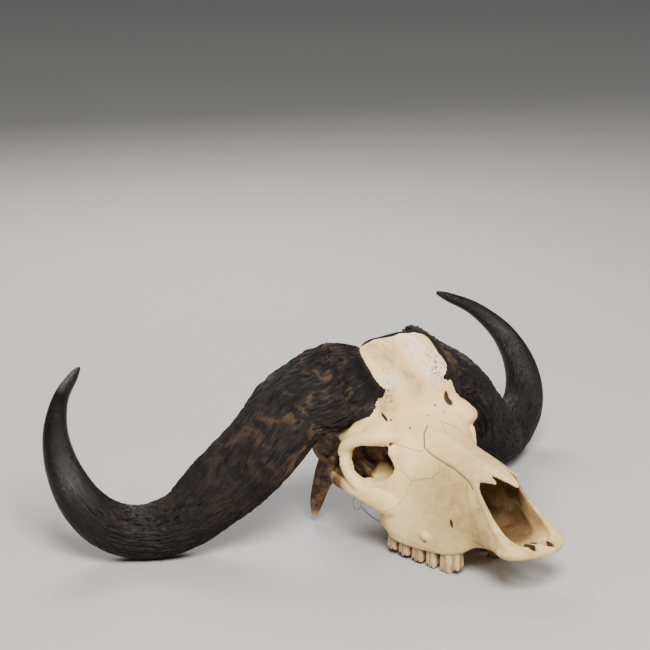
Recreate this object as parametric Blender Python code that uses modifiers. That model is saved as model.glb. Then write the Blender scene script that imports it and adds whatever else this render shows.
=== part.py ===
"""Cape buffalo skull without its lower jaw, bone by bone, lying on its horns and upper teeth.

The muzzle points to -Y, +X is the animal's left and +Z is up.  Places on the skull are written
as (side, forward, up) in metres: side from the middle plane, forward from the back of the last
molar towards the muzzle, and up from the biting plane.  The function at() turns them into the
model's frame.  The right half is modelled and the left half is its mirror image.
"""
import math

import bpy
import bmesh
import numpy as np
from mathutils import Matrix, Vector
from mathutils.bvhtree import BVHTree

# Driving dimensions of the skull
SKULL_BACK_TO_CENTRE = 0.054        # moves the origin to the middle of the whole length
BITING_PLANE_UP = 0.0061            # the longest tooth touches the floor
JOINT_GAP = 0.0003                  # clear gap between two bones or a bone and a horn
UNTANGLE_ROUNDS = 20                # at most so many rounds of relaxing crossed faces
WELD = 0.00002                      # points closer than this are merged
VOXEL = 0.0021                      # grain of the fused bone before it is thinned out
BONE_FACES = 4600                   # triangles kept in the fused bone before it is parted
HORN_SIDES = 16
HORN_SPANS = 2                      # lengths between two stations of the horn

# Orbit, the eye socket: its middle and the turn of its upright plane.  The outlines of the hole
# and of the bone round it are (back, up) from the middle, in that plane.
ORBIT = (.0930, -.0020, .1350)
ORBIT_TURN = 27.2
ORBIT_HOLE = ((-.0370, .0010), (-.0335, -.0095), (-.0205, -.0225), (-.0030, -.0280), (.0150, -.0255), (.0275, -.0140),
              (.0330, .0000), (.0325, .0125), (.0265, .0215), (.0110, .0270), (-.0080, .0285), (-.0200, .0285),
              (-.0275, .0310), (-.0265, .0190), (-.0320, .0110))
ORBIT_RIM = ((-.0455, .0020), (-.0400, -.0180), (-.0240, -.0330), (-.0030, -.0400), (.0200, -.0410), (.0355, -.0280),
             (.0415, -.0070), (.0430, .0100), (.0380, .0260), (.0220, .0380), (.0000, .0420), (-.0220, .0420),
             (-.0290, .0330), (-.0400, .0220), (-.0450, .0100))
ORBIT_DEPTHS = ((.0300, 1.30, 0), (.0060, 1.05, 0), (-.0060, 1.00, 0), (-.0250, 1.04, .004), (-.0420, .86, .010),
                (-.0560, .50, .016))   # out from the plane, scale of the hole and shift to the back
RIM_DEPTHS = ((.0040, .90), (.0010, .98), (-.0050, 1.00), (-.0130, .98), (-.0200, .92))

# Face in cross-section, from the front end of the snout back to the orbits.  Each row is
# forward, then the half outline (side, up) from the top middle round to the palate's middle.
FACE = (
    (0.2700, ((0, .0600), (.008, .0600), (.013, .0595), (.017, .0580), (.018, .0560), (.016, .0540), (.009, .0525), (0, .0525))),
    (0.2560, ((0, .0640), (.018, .0645), (.034, .0655), (.043, .0630), (.047, .0580), (.044, .0525), (.024, .0500), (0, .0500))),
    (0.2410, ((0, .0720), (.028, .0725), (.046, .0720), (.054, .0660), (.056, .0580), (.052, .0515), (.030, .0480), (0, .0480))),
    (0.2190, ((0, .0840), (.028, .0850), (.0435, .0835), (.0495, .0745), (.0515, .0640), (.049, .0535), (.030, .0480), (0, .0485))),
    (0.1940, ((0, .1010), (.024, .1030), (.0395, .1010), (.0465, .0900), (.0485, .0720), (.045, .0540), (.032, .0480), (0, .0490))),
    (0.1720, ((0, .1300), (.020, .1280), (.0355, .1215), (.0455, .1040), (.0505, .0760), (.043, .0500), (.034, .0450), (0, .0480))),
    (0.1600, ((0, .1500), (.024, .1460), (.0365, .1365), (.049, .1110), (.0545, .0770), (.046, .0440), (.036, .0410), (0, .0470))),
    (0.1450, ((0, .1570), (.026, .1490), (.0375, .1415), (.052, .1130), (.058, .0800), (.051, .0330), (.038, .0340), (0, .0460))),
    (0.1200, ((0, .1620), (.028, .1540), (.0385, .1465), (.054, .1180), (.063, .0740), (.058, .0250), (.039, .0300), (0, .0460))),
    (0.0880, ((0, .1690), (.028, .1600), (.0405, .1520), (.058, .1220), (.068, .0720), (.065, .0220), (.041, .0290), (0, .0460))),
    (0.0600, ((0, .1765), (.028, .1690), (.0445, .1590), (.064, .1280), (.074, .0800), (.070, .0210), (.042, .0290), (0, .0480))),
    (0.0350, ((0, .1860), (.034, .1820), (.056, .1735), (.073, .1450), (.082, .0930), (.0745, .0230), (.043, .0290), (0, .0500))),
    (0.0150, ((0, .1920), (.040, .1910), (.073, .1840), (.086, .1400), (.087, .0860), (.074, .0270), (.043, .0320), (0, .0550))),
    (0.0000, ((0, .1975), (.046, .1990), (.080, .1880), (.092, .1400), (.084, .0920), (.066, .0400), (.040, .0420), (0, .0600))),
    (-.0080, ((0, .2040), (.048, .2080), (.080, .1980), (.094, .1420), (.078, .0980), (.058, .0520), (.036, .0500), (0, .0640))),
    (-.0160, ((0, .2180), (.052, .2260), (.082, .2060), (.098, .1480), (.074, .1020), (.052, .0620), (.032, .0560), (0, .0660))),
    (-.0360, ((0, .2300), (.060, .2400), (.090, .1960), (.102, .1500), (.070, .1080), (.046, .0760), (.026, .0680), (0, .0720))),
)

# Braincase and forehead in cross-section, from the foot of the forehead back to the occiput
BRAINCASE = (
    (-.0040, ((0, .1960), (.034, .1970), (.054, .1960), (.068, .1850), (.078, .1680), (.070, .1450), (.046, .1150), (.030, .0920), (0, .0880))),
    (-.0130, ((0, .2360), (.036, .2400), (.060, .2395), (.077, .2140), (.092, .1840), (.080, .1500), (.052, .1120), (.030, .0860), (0, .0820))),
    (-.0240, ((0, .2565), (.040, .2590), (.068, .2520), (.085, .2080), (.103, .1760), (.082, .1480), (.054, .1120), (.030, .0840), (0, .0800))),
    (-.0370, ((0, .2690), (.040, .2720), (.070, .2600), (.087, .2000), (.110, .1750), (.082, .1480), (.055, .1120), (.030, .0820), (0, .0780))),
    (-.0500, ((0, .2830), (.040, .2850), (.070, .2700), (.089, .1900), (.110, .1620), (.080, .1420), (.056, .1120), (.031, .0810), (0, .0770))),
    (-.0670, ((0, .2950), (.042, .2950), (.070, .2750), (.088, .1920), (.104, .1620), (.076, .1380), (.056, .1120), (.032, .0800), (0, .0760))),
    (-.0950, ((0, .2860), (.042, .2840), (.068, .2600), (.084, .2000), (.098, .1620), (.084, .1360), (.062, .1080), (.034, .0780), (0, .0740))),
    (-.1250, ((0, .2560), (.046, .2520), (.074, .2280), (.088, .1900), (.100, .1560), (.094, .1260), (.068, .0940), (.034, .0740), (0, .0740))),
    (-.1500, ((0, .2250), (.046, .2140), (.070, .1920), (.084, .1680), (.090, .1450), (.084, .1120), (.060, .0860), (.030, .0780), (0, .0820))),
    (-.1640, ((0, .1960), (.036, .1880), (.052, .1700), (.060, .1520), (.062, .1360), (.056, .1120), (.040, .0940), (.022, .0880), (0, .0920))),
)

# Hollow of the nose: open above the snout, then a passage under the nasal bones
NOSE_HOLLOW = (
    (0.2560, ((0, .0780), (.010, .0780), (.018, .0760), (.021, .0720), (.020, .0690), (.014, .0670), (.006, .0665), (0, .0665))),
    (0.2380, ((0, .1100), (.024, .1080), (.032, .0980), (.0355, .0840), (.035, .0700), (.028, .0630), (.012, .0615), (0, .0615))),
    (0.2050, ((0, .1500), (.026, .1480), (.034, .1380), (.0365, .1000), (.040, .0740), (.035, .0600), (.016, .0570), (0, .0570))),
    (0.1780, ((0, .1620), (.026, .1600), (.031, .1400), (.036, .1050), (.042, .0740), (.036, .0590), (.016, .0560), (0, .0560))),
    (0.1600, ((0, .1450), (.022, .1440), (.031, .1340), (.042, .1060), (.044, .0740), (.036, .0590), (.016, .0560), (0, .0560))),
    (0.1250, ((0, .1540), (.022, .1480), (.034, .1380), (.047, .1080), (.050, .0740), (.036, .0590), (.016, .0560), (0, .0560))),
    (0.0900, ((0, .1540), (.018, .1500), (.030, .1380), (.040, .1100), (.040, .0800), (.028, .0640), (.012, .0600), (0, .0600))),
    (0.0700, ((0, .1200), (.006, .1180), (.010, .1130), (.012, .1060), (.010, .1000), (.007, .0960), (.003, .0940), (0, .0940))),
)

# Horn: middle line (side, forward, up), half width across, half thickness, and the turn of the
# width within the section in degrees
HORN = (
    ((.0618, -.0422, .2659), .0380, .0117, 0),
    ((.0697, -.0651, .2532), .0516, .0172, 0),
    ((.0934, -.0931, .2328), .0636, .0260, 6),
    ((.1462, -.1194, .2005), .0667, .0403, 23),
    ((.1979, -.1247, .1506), .0615, .0458, 23),
    ((.2331, -.1404, .1138), .0570, .0466, 6),
    ((.2709, -.1569, .0788), .0503, .0455, 0),
    ((.3059, -.1740, .0499), .0440, .0431, 0),
    ((.3412, -.1952, .0341), .0402, .0400, 0),
    ((.3791, -.2121, .0382), .0374, .0370, 0),
    ((.4118, -.2256, .0552), .0352, .0345, 0),
    ((.4338, -.2396, .0806), .0325, .0315, 0),
    ((.4455, -.2571, .1105), .0288, .0280, 0),
    ((.4475, -.2805, .1446), .0238, .0230, 0),
    ((.4364, -.3085, .1800), .0180, .0175, 0),
    ((.4075, -.3396, .2136), .0120, .0116, 0),
    ((.3700, -.3640, .2350), .0076, .0074, 0),
    ((.3540, -.3735, .2430), .0030, .0030, 0),
)
BOSS_ACROSS = (0.0, -0.76, 0.65)    # width direction at the boss, from its front foot to its back
BOSS_STATIONS = 4                   # horn stations over which the width turns to follow the curve

# Steel ring and tie wire behind the right tooth row
RING = (-.0460, -.0930, .0375)
RING_WIDE = .0068
RING_HIGH = .0095
RING_WIRE = .0009
RING_SIDES = 16
TIE_WIRE = ((-.0452, -.0810, .0330), (-.0460, -.0660, .0280), (-.0465, -.0500, .0250), (-.0475, -.0340, .0255),
            (-.0500, -.0200, .0320), (-.0530, -.0080, .0420))
TIE_RADIUS = .0011

# Teeth from front to back: length along the row, width, lobes and how far the cusps reach down
TEETH = (
    ("second premolar", .0225, .0160, 2, .0010),
    ("third premolar", .0260, .0190, 2, -.0061),
    ("fourth premolar", .0220, .0200, 2, -.0040),
    ("first molar", .0250, .0210, 2, -.0020),
    ("second molar", .0250, .0215, 2, .0000),
    ("third molar", .0205, .0205, 2, .0035),
)
TOOTH_ROW = ((.0420, .1440), (.0455, .1200), (.0515, .0760), (.0562, .0400), (.0605, .0030))
TOOTH_ROOT_UP = .0380

# Free front plates of the nasal bones: points across, bend down (1/m) and thickness
NASAL_POINTS = 6
NASAL_DROOP = 12.5
NASAL_THICK = .0046

# Sutures, as outlines that the bones are parted along
NASAL_PLAN = ((.0000, .0560), (.0130, .0300), (.0300, .0420), (.0410, .0560), (.0385, .0930), (.0375, .1180),
              (.0385, .1500), (.0400, .1590), (.0600, .1630), (.0600, .2300), (.0000, .2300))
NASAL_LOW = .150
NASAL_HIGH = .300
PREMAXILLA_SIDE = ((.1470, .1430), (.1493, .1310), (.1640, .1020), (.1750, .0865), (.1830, .0690), (.1894, .0300),
                   (.2900, .0300), (.2900, .1100), (.2200, .1300), (.1700, .1520), (.1560, .1500))
LACRIMAL_SIDE = ((.0890, .1650), (.0890, .1530), (.0950, .1395), (.0890, .1300), (.0580, .1200), (.0420, .1330),
                 (.0250, .1340), (.0150, .1600), (.0220, .1690), (.0430, .1620), (.0560, .1590), (.0600, .1700))
ZYGOMATIC_SIDE = ((.0580, .1195), (.0540, .0960), (.0420, .0800), (.0240, .0660), (.0060, .0560), (-.0300, .0600),
                  (-.0720, .0700), (-.0720, .1120), (-.0560, .1240), (-.0250, .1300), (.0250, .1335), (.0420, .1325))
MAXILLA_SIDE = ((.2000, .0200), (.2000, .2000), (.0640, .2000), (.0600, .1180), (.0480, .0950), (.0120, .0760),
                (-.0120, .0520), (-.0060, -.0300), (.1700, -.0300))


def at(side, forward, up):
    """Return a place on the skull as a vector in the model's frame."""
    return Vector((side, -forward - SKULL_BACK_TO_CENTRE, up + BITING_PLANE_UP))


def spline(points, steps):
    """Return a smooth curve through the points, with steps spans between two of them."""
    points = np.array(points, float)
    ends = np.vstack([2 * points[0] - points[1], points, 2 * points[-1] - points[-2]])
    curve = []
    for i in range(len(points) - 1):
        a, b, c, d = ends[i:i + 4]
        for t in np.arange(steps) / steps:
            curve.append(b + 0.5 * t * (c - a + t * (2 * a - 5 * b + 4 * c - d + t * (3 * (b - c) + d - a))))
    curve.append(points[-1])
    return np.array(curve)


def new_object(name, mesh, collection):
    """Link a mesh to a collection as a named object."""
    obj = bpy.data.objects.new(name, mesh)
    collection.objects.link(obj)
    return obj


def mesh_from(name, bm, collection):
    """Write a bmesh to a new object, with its faces pointing out."""
    bmesh.ops.recalc_face_normals(bm, faces=bm.faces)
    mesh = bpy.data.meshes.new(name)
    bm.to_mesh(mesh)
    bm.free()
    return new_object(name, mesh, collection)


def loft(name, rings, collection):
    """Skin closed rings of equally many points into one closed body."""
    bm = bmesh.new()
    rows = [[bm.verts.new(point) for point in ring] for ring in rings]
    for front, back in zip(rows, rows[1:]):
        for i in range(len(front)):
            j = (i + 1) % len(front)
            bm.faces.new((front[i], front[j], back[j], back[i]))
    bm.faces.new(rows[0])
    bm.faces.new(reversed(rows[-1]))
    return mesh_from(name, bm, collection)


def section_loft(name, sections, collection, around=3, along=3):
    """Skin a table of half cross-sections, mirrored across the middle plane."""
    outlines = [spline([(forward, side, up) for side, up in half], around) for forward, half in sections]
    grid = spline([outline.ravel() for outline in outlines], along)
    rings = []
    for row in grid:
        half = row.reshape(-1, 3)
        right = [at(-max(side, 0), forward, up) for forward, side, up in half]
        left = [Vector((-p.x, p.y, p.z)) for p in right[-2:0:-1]]
        rings.append(right + left)
    return loft(name, rings, collection)


def ellipsoid(name, centre, radii, collection, turn=(0, 0, 0), around=18):
    """Add a ball stretched to three radii, turned by angles in degrees."""
    bm = bmesh.new()
    spin = Matrix.Rotation(math.radians(turn[2]), 4, 'Z')
    spin = spin @ Matrix.Rotation(math.radians(turn[1]), 4, 'Y') @ Matrix.Rotation(math.radians(turn[0]), 4, 'X')
    place = Matrix.Translation(at(*centre)) @ spin @ Matrix.Diagonal((*radii, 1))
    bmesh.ops.create_uvsphere(bm, u_segments=around, v_segments=around * 2 // 3, radius=1.0, matrix=place)
    return mesh_from(name, bm, collection)


def tube(name, points, radii, collection, flat=1.0, sides=10, closed=False):
    """Run a round or flattened bar along a smooth line, with its own radius at each point."""
    line = spline([at(*p) for p in points], 3)
    sizes = spline([(r,) for r in radii], 3)[:, 0]
    rings = []
    for i, centre in enumerate(line):
        ahead = Vector(line[min(i + 1, len(line) - 1)]) - Vector(line[max(i - 1, 0)])
        across = ahead.cross(Vector((0, 0, 1))).normalized()
        upward = across.cross(ahead).normalized()
        ring = []
        for k in range(sides):
            angle = 2 * math.pi * k / sides
            out = math.cos(angle) * flat * across + math.sin(angle) * upward
            ring.append(Vector(centre) + out * float(sizes[i]))
        rings.append(ring)
    return loft(name, rings, collection)


def orbit_loft(name, outline, depths, collection):
    """Skin an outline of the orbit's plane through depths (out, scale, shift to the back)."""
    turn = math.radians(ORBIT_TURN)
    backward = Vector((-math.sin(turn), math.cos(turn), 0))
    outward = Vector((-math.cos(turn), -math.sin(turn), 0))
    middle = at(-ORBIT[0], ORBIT[1], ORBIT[2])
    rings = []
    for out, scale, shift in depths:
        rings.append([middle + outward * out + backward * (back * scale + shift) + Vector((0, 0, up * scale))
                      for back, up in outline])
    return loft(name, rings, collection)


def prism(name, outline, frame, low, high, collection):
    """Extrude a flat outline between two depths; frame turns (a, b, depth) into a place."""
    bm = bmesh.new()
    floor = [bm.verts.new(frame(a, b, low)) for a, b in outline]
    roof = [bm.verts.new(frame(a, b, high)) for a, b in outline]
    count = len(outline)
    for i in range(count):
        bm.faces.new((floor[i], floor[(i + 1) % count], roof[(i + 1) % count], roof[i]))
    bm.faces.new(floor)
    bm.faces.new(roof)
    bmesh.ops.triangulate(bm, faces=[f for f in bm.faces if len(f.verts) > 4])
    return mesh_from(name, bm, collection)


def grown(outline, distance):
    """Return a flat outline with every edge moved outward by the distance."""
    points = [Vector(p) for p in outline]
    area = sum(a.x * b.y - b.x * a.y for a, b in zip(points, points[1:] + points[:1]))
    turn = 1 if area > 0 else -1
    result = []
    for i, point in enumerate(points):
        before = (point - points[i - 1]).normalized()
        after = (points[(i + 1) % len(points)] - point).normalized()
        normal = Vector((before.y, -before.x)) + Vector((after.y, -after.x))
        normal = normal.normalized() * turn
        reach = distance / max(0.4, abs(normal.dot(Vector((before.y, -before.x)))))
        result.append(tuple(point + normal * reach))
    return result


def baked(obj):
    """Apply the object's modifiers."""
    graph = bpy.context.evaluated_depsgraph_get()
    mesh = bpy.data.meshes.new_from_object(obj.evaluated_get(graph))
    obj.modifiers.clear()
    obj.data = mesh
    return obj


def combine(obj, others, operation, solver='EXACT'):
    """Join the others to the object or cut them from it, in one Boolean, and apply it."""
    group = bpy.data.collections.new("operands")
    bpy.context.scene.collection.children.link(group)
    for other in others:
        group.objects.link(other)
    modifier = obj.modifiers.new(operation.lower(), 'BOOLEAN')
    modifier.operation = operation
    modifier.solver = solver
    modifier.operand_type = 'COLLECTION'
    modifier.collection = group
    if solver == 'EXACT':
        modifier.use_self = operation == 'UNION'
    baked(obj)
    bpy.data.collections.remove(group)
    return obj


def discard(objects):
    """Remove helper objects."""
    for obj in objects:
        bpy.data.objects.remove(obj)


def copy_of(obj, name, collection):
    """Return a separate copy of an object."""
    return new_object(name, obj.data.copy(), collection)


def swollen(obj, name, distance, collection):
    """Return a copy of the object with its surface moved out by the distance."""
    copy = copy_of(obj, name, collection)
    swell = copy.modifiers.new("swell", 'DISPLACE')
    swell.strength = distance
    swell.mid_level = 0.0
    return baked(copy)


def largest_body(obj):
    """Keep only the closed surface that holds the most volume, in triangles with no slivers."""
    bm = bmesh.new()
    bm.from_mesh(obj.data)
    bmesh.ops.remove_doubles(bm, verts=bm.verts, dist=WELD)
    bmesh.ops.dissolve_degenerate(bm, edges=bm.edges, dist=WELD)
    bmesh.ops.triangulate(bm, faces=bm.faces)
    bm.faces.ensure_lookup_table()
    left = set(bm.faces)
    bodies = []
    while left:
        stack = [left.pop()]
        body = list(stack)
        while stack:
            face = stack.pop()
            for edge in face.edges:
                for near in edge.link_faces if len(edge.link_faces) == 2 else ():
                    if near in left:
                        left.remove(near)
                        stack.append(near)
                        body.append(near)
        volume = sum(f.verts[0].co.dot(f.verts[1].co.cross(f.verts[2].co)) for f in body) / 6
        bodies.append((abs(volume), body))
    bodies.sort(key=lambda item: item[0])
    for _, body in bodies[:-1]:
        bmesh.ops.delete(bm, geom=body, context='FACES')
    bm.to_mesh(obj.data)
    bm.free()
    return obj


def untangled(obj):
    """Relax the points of faces that cut through each other, until none do."""
    bm = bmesh.new()
    bm.from_mesh(obj.data)
    for _ in range(UNTANGLE_ROUNDS):
        bm.faces.ensure_lookup_table()
        tree = BVHTree.FromBMesh(bm, epsilon=0.0)
        crossed = set()
        for a, b in tree.overlap(tree):
            near, far = set(bm.faces[a].verts), set(bm.faces[b].verts)
            if not near & far:
                crossed |= near | far
        if not crossed:
            break
        bmesh.ops.smooth_vert(bm, verts=sorted(crossed, key=lambda v: v.index), factor=0.5, use_axis_x=True,
                              use_axis_y=True, use_axis_z=True)
    bm.to_mesh(obj.data)
    bm.free()
    return obj


def mirrored(obj, name, collection):
    """Return the object's mirror image across the middle plane."""
    bm = bmesh.new()
    bm.from_mesh(obj.data)
    bmesh.ops.scale(bm, vec=(-1, 1, 1), verts=bm.verts)
    bmesh.ops.reverse_faces(bm, faces=bm.faces)
    mesh = bpy.data.meshes.new(name)
    bm.to_mesh(mesh)
    bm.free()
    return new_object(name, mesh, collection)


def paint(obj, name, colour, roughness, metallic=0.0):
    """Give the object its own Principled material."""
    material = bpy.data.materials.new(name)
    material.use_nodes = True
    shader = material.node_tree.nodes["Principled BSDF"]
    shader.inputs["Base Color"].default_value = (*colour, 1)
    shader.inputs["Roughness"].default_value = roughness
    shader.inputs["Metallic"].default_value = metallic
    obj.data.materials.clear()
    obj.data.materials.append(material)


def smooth(obj, angle=35):
    """Shade the object smooth up to an angle."""
    obj.data.shade_smooth()
    obj.data.set_sharp_from_angle(angle=math.radians(angle))


def bone_masses(work):
    """Make the closed shapes that fuse into the bone, for both sides."""
    masses = [section_loft("face", FACE, work), section_loft("braincase", BRAINCASE, work)]
    right = [
        orbit_loft("orbit rim", ORBIT_RIM, [(out, scale, 0) for out, scale in RIM_DEPTHS], work),
        tube("brow", ((-.060, .022, .176), (-.076, .019, .177), (-.088, .010, .1765), (-.098, -.006, .173),
                      (-.106, -.024, .167), (-.112, -.038, .155), (-.1135, -.042, .140), (-.112, -.036, .124),
                      (-.108, -.026, .108), (-.104, -.016, .096)),
             (.008, .0095, .0110, .0120, .0115, .0095, .0075, .0080, .0085, .0070), work),
        ellipsoid("brow shelf", (-.074, -.004, .186), (.024, .022, .013), work, turn=(0, -28, 27)),
        tube("cheek arch", ((-.066, .050, .078), (-.082, .028, .079), (-.092, .006, .084), (-.103, -.018, .091),
                            (-.112, -.040, .098), (-.112, -.060, .100), (-.100, -.086, .106), (-.080, -.104, .112)),
             (.012, .0185, .0155, .0120, .0100, .0095, .0105, .016), work, flat=0.55),
        ellipsoid("cheek swelling", (-.0620, .087, .045), (.0110, .0150, .0100), work, turn=(12, 0, 0)),
        ellipsoid("last molar swelling", (-.057, .006, .052), (.018, .024, .030), work),
        tube("hinge plate", ((-.062, -.078, .098), (-.078, -.084, .093), (-.094, -.084, .096)),
             (.013, .012, .009), work),
        tube("process beside the condyle", ((-.060, -.138, .094), (-.068, -.150, .060), (-.073, -.158, .026),
                                            (-.0745, -.161, .0045)), (.021, .0150, .0105, .0045), work, flat=0.6),
        ellipsoid("condyle", (-.030, -.170, .088), (.019, .016, .024), work, turn=(20, 0, 20)),
        ellipsoid("ear bulla", (-.045, -.098, .0690), (.014, .022, .0195), work),
        tube("wing of the palate", ((-.030, .030, .056), (-.030, .000, .060), (-.027, -.030, .062),
                                    (-.024, -.056, .070)), (.020, .022, .021, .014), work, flat=0.24),
        tube("arm of the snout", ((-.0470, .238, .0660), (-.0435, .217, .0795), (-.0385, .190, .0990),
                                  (-.0355, .173, .1155), (-.0345, .160, .1310)),
             (.0058, .0062, .0060, .0055, .0055), work),
        ellipsoid("snout corner", (-.049, .240, .0595), (.0095, .016, .0085), work, turn=(0, 0, 20)),
    ]
    masses.append(tube("base of the skull", ((0, .010, .090), (0, -.040, .084), (0, -.100, .080), (0, -.160, .084)),
                       (.020, .018, .018, .020), work))
    masses.append(tube("nose floor", ((0, .262, .0570), (0, .235, .0560), (0, .200, .0540), (0, .170, .0530)),
                       (.0045, .0050, .0055, .0060), work, flat=1.6))
    masses.append(tube("nape crest", ((-.078, -.136, .176), (-.060, -.146, .208), (0, -.154, .226), (.060, -.146, .208),
                                      (.078, -.136, .176)), (.009, .010, .010, .010, .009), work))
    for mass in right:
        masses += [mass, mirrored(mass, mass.name + " left", work)]
    return masses


def nasal_plates(work):
    """Make the free front ends of the nasal bones, forked at their tips."""
    middle_prong = ((.1450, .0000, .0360, .1575), (.1560, .0000, .0345, .1560), (.1660, .0000, .0160, .1543),
                    (.1800, .0000, .0125, .1510), (.1950, .0000, .0080, .1462), (.2095, .0004, .0028, .1410))
    outer_prong = ((.1560, .0140, .0345, .1560), (.1660, .0165, .0305, .1543), (.1760, .0180, .0262, .1520),
                   (.1870, .0200, .0215, .1488))
    plates = []
    for name, rows in (("nasal middle prong", middle_prong), ("nasal outer prong", outer_prong)):
        plates.append(loft(name, [nasal_ring(*row) for row in rows], work))
    return plates + [mirrored(p, p.name + " left", work) for p in plates]


def nasal_ring(forward, inner, outer, ridge):
    """Return one cross-section of a nasal plate, bent down towards its outer edge."""
    upper = []
    lower = []
    for side in np.linspace(inner, outer, NASAL_POINTS):
        up = ridge - NASAL_DROOP * side * side
        upper.append(at(-side, forward, up))
        lower.append(at(-side, forward, up - NASAL_THICK))
    return upper + lower[::-1]


def bone_hollows(work):
    """Make the cutters of the openings, for both sides."""
    cutters = [
        ellipsoid("palate vault", (0, .060, .028), (.034, .098, .016), work),
        ellipsoid("palate vault front", (0, .170, .040), (.030, .060, .0105), work),
        ellipsoid("inner nostrils", (0, -.022, .052), (.0225, .048, .026), work),
        ellipsoid("foramen magnum", (0, -.168, .114), (.0165, .032, .0165), work, turn=(-12, 0, 0)),
        ellipsoid("occiput hollow", (0, -.188, .180), (.044, .026, .036), work),
    ]
    right = [
        orbit_loft("eye socket", ORBIT_HOLE, ORBIT_DEPTHS, work),
        ellipsoid("temple hollow", (-.101, -.068, .134), (.031, .033, .026), work),
        ellipsoid("temple hollow low", (-.086, -.046, .116), (.020, .040, .026), work),
        ellipsoid("snout slot", (-.0165, .236, .056), (.0062, .0190, .016), work, turn=(0, 0, -18)),
        ellipsoid("ear opening", (-.088, -.122, .112), (.020, .007, .007), work),
    ]
    for cutter in right:
        cutters += [cutter, mirrored(cutter, cutter.name + " left", work)]
    return cutters


def nerve_holes(work):
    """Make the cutters of the small holes that open over and under the orbit."""
    right = [
        ellipsoid("hole over the orbit", (-.0580, -.004, .2040), (.0045, .0110, .0110), work, (-35, 0, 0), 10),
        ellipsoid("hole under the orbit", (-.0590, .137, .0760), (.0090, .0036, .0052), work, (-15, 0, 0), 10),
    ]
    return right + [mirrored(cutter, cutter.name + " left", work) for cutter in right]


def fused_bone(work):
    """Fuse the masses, open the hollows, and thin the surface out to a few thousand faces."""
    masses = bone_masses(work)
    body = masses[0]
    combine(body, masses[1:], 'UNION')
    discard(masses[1:])
    nose = section_loft("nose hollow", NOSE_HOLLOW, work)
    combine(body, [nose], 'DIFFERENCE')
    plates = nasal_plates(work)
    combine(body, plates, 'UNION')
    cutters = bone_hollows(work)
    combine(body, cutters, 'DIFFERENCE')
    discard([nose] + plates + cutters)
    remesh = body.modifiers.new("fuse", 'REMESH')
    remesh.mode = 'VOXEL'
    remesh.voxel_size = VOXEL
    relax = body.modifiers.new("relax", 'SMOOTH')
    relax.factor = 0.5
    relax.iterations = 4
    baked(body)
    largest_body(body)
    thin = body.modifiers.new("thin out", 'DECIMATE')
    thin.ratio = BONE_FACES / len(body.data.polygons)
    thin.use_symmetry = True
    thin.symmetry_axis = 'X'
    baked(body)
    untangled(body)
    holes = nerve_holes(work)
    combine(body, holes, 'DIFFERENCE', 'MANIFOLD')
    discard(holes)
    return largest_body(body)


def horn_rings():
    """Return the horn's cross-sections from the boss to the tip."""
    line = [Vector(p) for p in spline([at(-side, forward, up) for (side, forward, up), *_ in HORN], HORN_SPANS)]
    sizes = spline([row[1:] for row in HORN], HORN_SPANS)
    side, forward, up = BOSS_ACROSS
    boss_across = Vector((-side, -forward, up)).normalized()
    across = boss_across
    rings = []
    for i, centre in enumerate(line):
        ahead = (line[min(i + 1, len(line) - 1)] - line[max(i - 1, 0)]).normalized()
        across = (across - across.dot(ahead) * ahead).normalized()
        share = min(1.0, i / (HORN_SPANS * BOSS_STATIONS))
        width = boss_across.lerp(across, share).normalized()
        thick = ahead.cross(width).normalized()
        wide, deep, twist = (float(size) for size in sizes[i])
        turn = math.radians(twist)
        width, thick = (math.cos(turn) * width + math.sin(turn) * thick,
                        math.cos(turn) * thick - math.sin(turn) * width)
        ring = []
        for k in range(HORN_SIDES):
            angle = 2 * math.pi * k / HORN_SIDES
            ring.append(centre + math.cos(angle) * wide * width + math.sin(angle) * deep * thick)
        rings.append(ring)
    return rings


def cut_both_sides(body, cutter, work):
    """Cut a shape and its mirror image from the body."""
    other = mirrored(cutter, cutter.name + " left", work)
    combine(body, [cutter, other], 'DIFFERENCE', 'MANIFOLD')
    discard([other])


def cut_out(body, name, inside, around, work):
    """Part one bone from the body: the bone is what lies inside, and around is cleared round it."""
    bone = copy_of(body, name, work)
    combine(bone, [inside], 'INTERSECT', 'MANIFOLD')
    combine(body, around, 'DIFFERENCE', 'MANIFOLD')
    discard([inside] + around)
    largest_body(body)
    return largest_body(bone)


def part_sideways(body, name, outline, low, high, work):
    """Part a bone along an outline in side view, from a low to a high distance from the middle."""
    inside = prism("inside", outline, side_view, low, high, work)
    wider = grown(outline, JOINT_GAP)
    if low < JOINT_GAP:
        around = [prism("around", wider, side_view, -high, high, work)]
    else:
        near = prism("around", wider, side_view, low - JOINT_GAP, high + JOINT_GAP, work)
        around = [near, mirrored(near, "around left", work)]
    return cut_out(body, name, inside, around, work)


def part_nasal(body, work):
    """Part the right nasal bone along its outline in plan, with both sides cleared."""
    right = [(max(side, JOINT_GAP / 2), forward) for side, forward in NASAL_PLAN]
    both = NASAL_PLAN + tuple((-side, forward) for side, forward in NASAL_PLAN[-2:0:-1])
    inside = prism("inside", right, plan_view, NASAL_LOW, NASAL_HIGH, work)
    around = prism("around", grown(both, JOINT_GAP), plan_view, NASAL_LOW - JOINT_GAP, NASAL_HIGH, work)
    return cut_out(body, "nasal", inside, [around], work)


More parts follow.
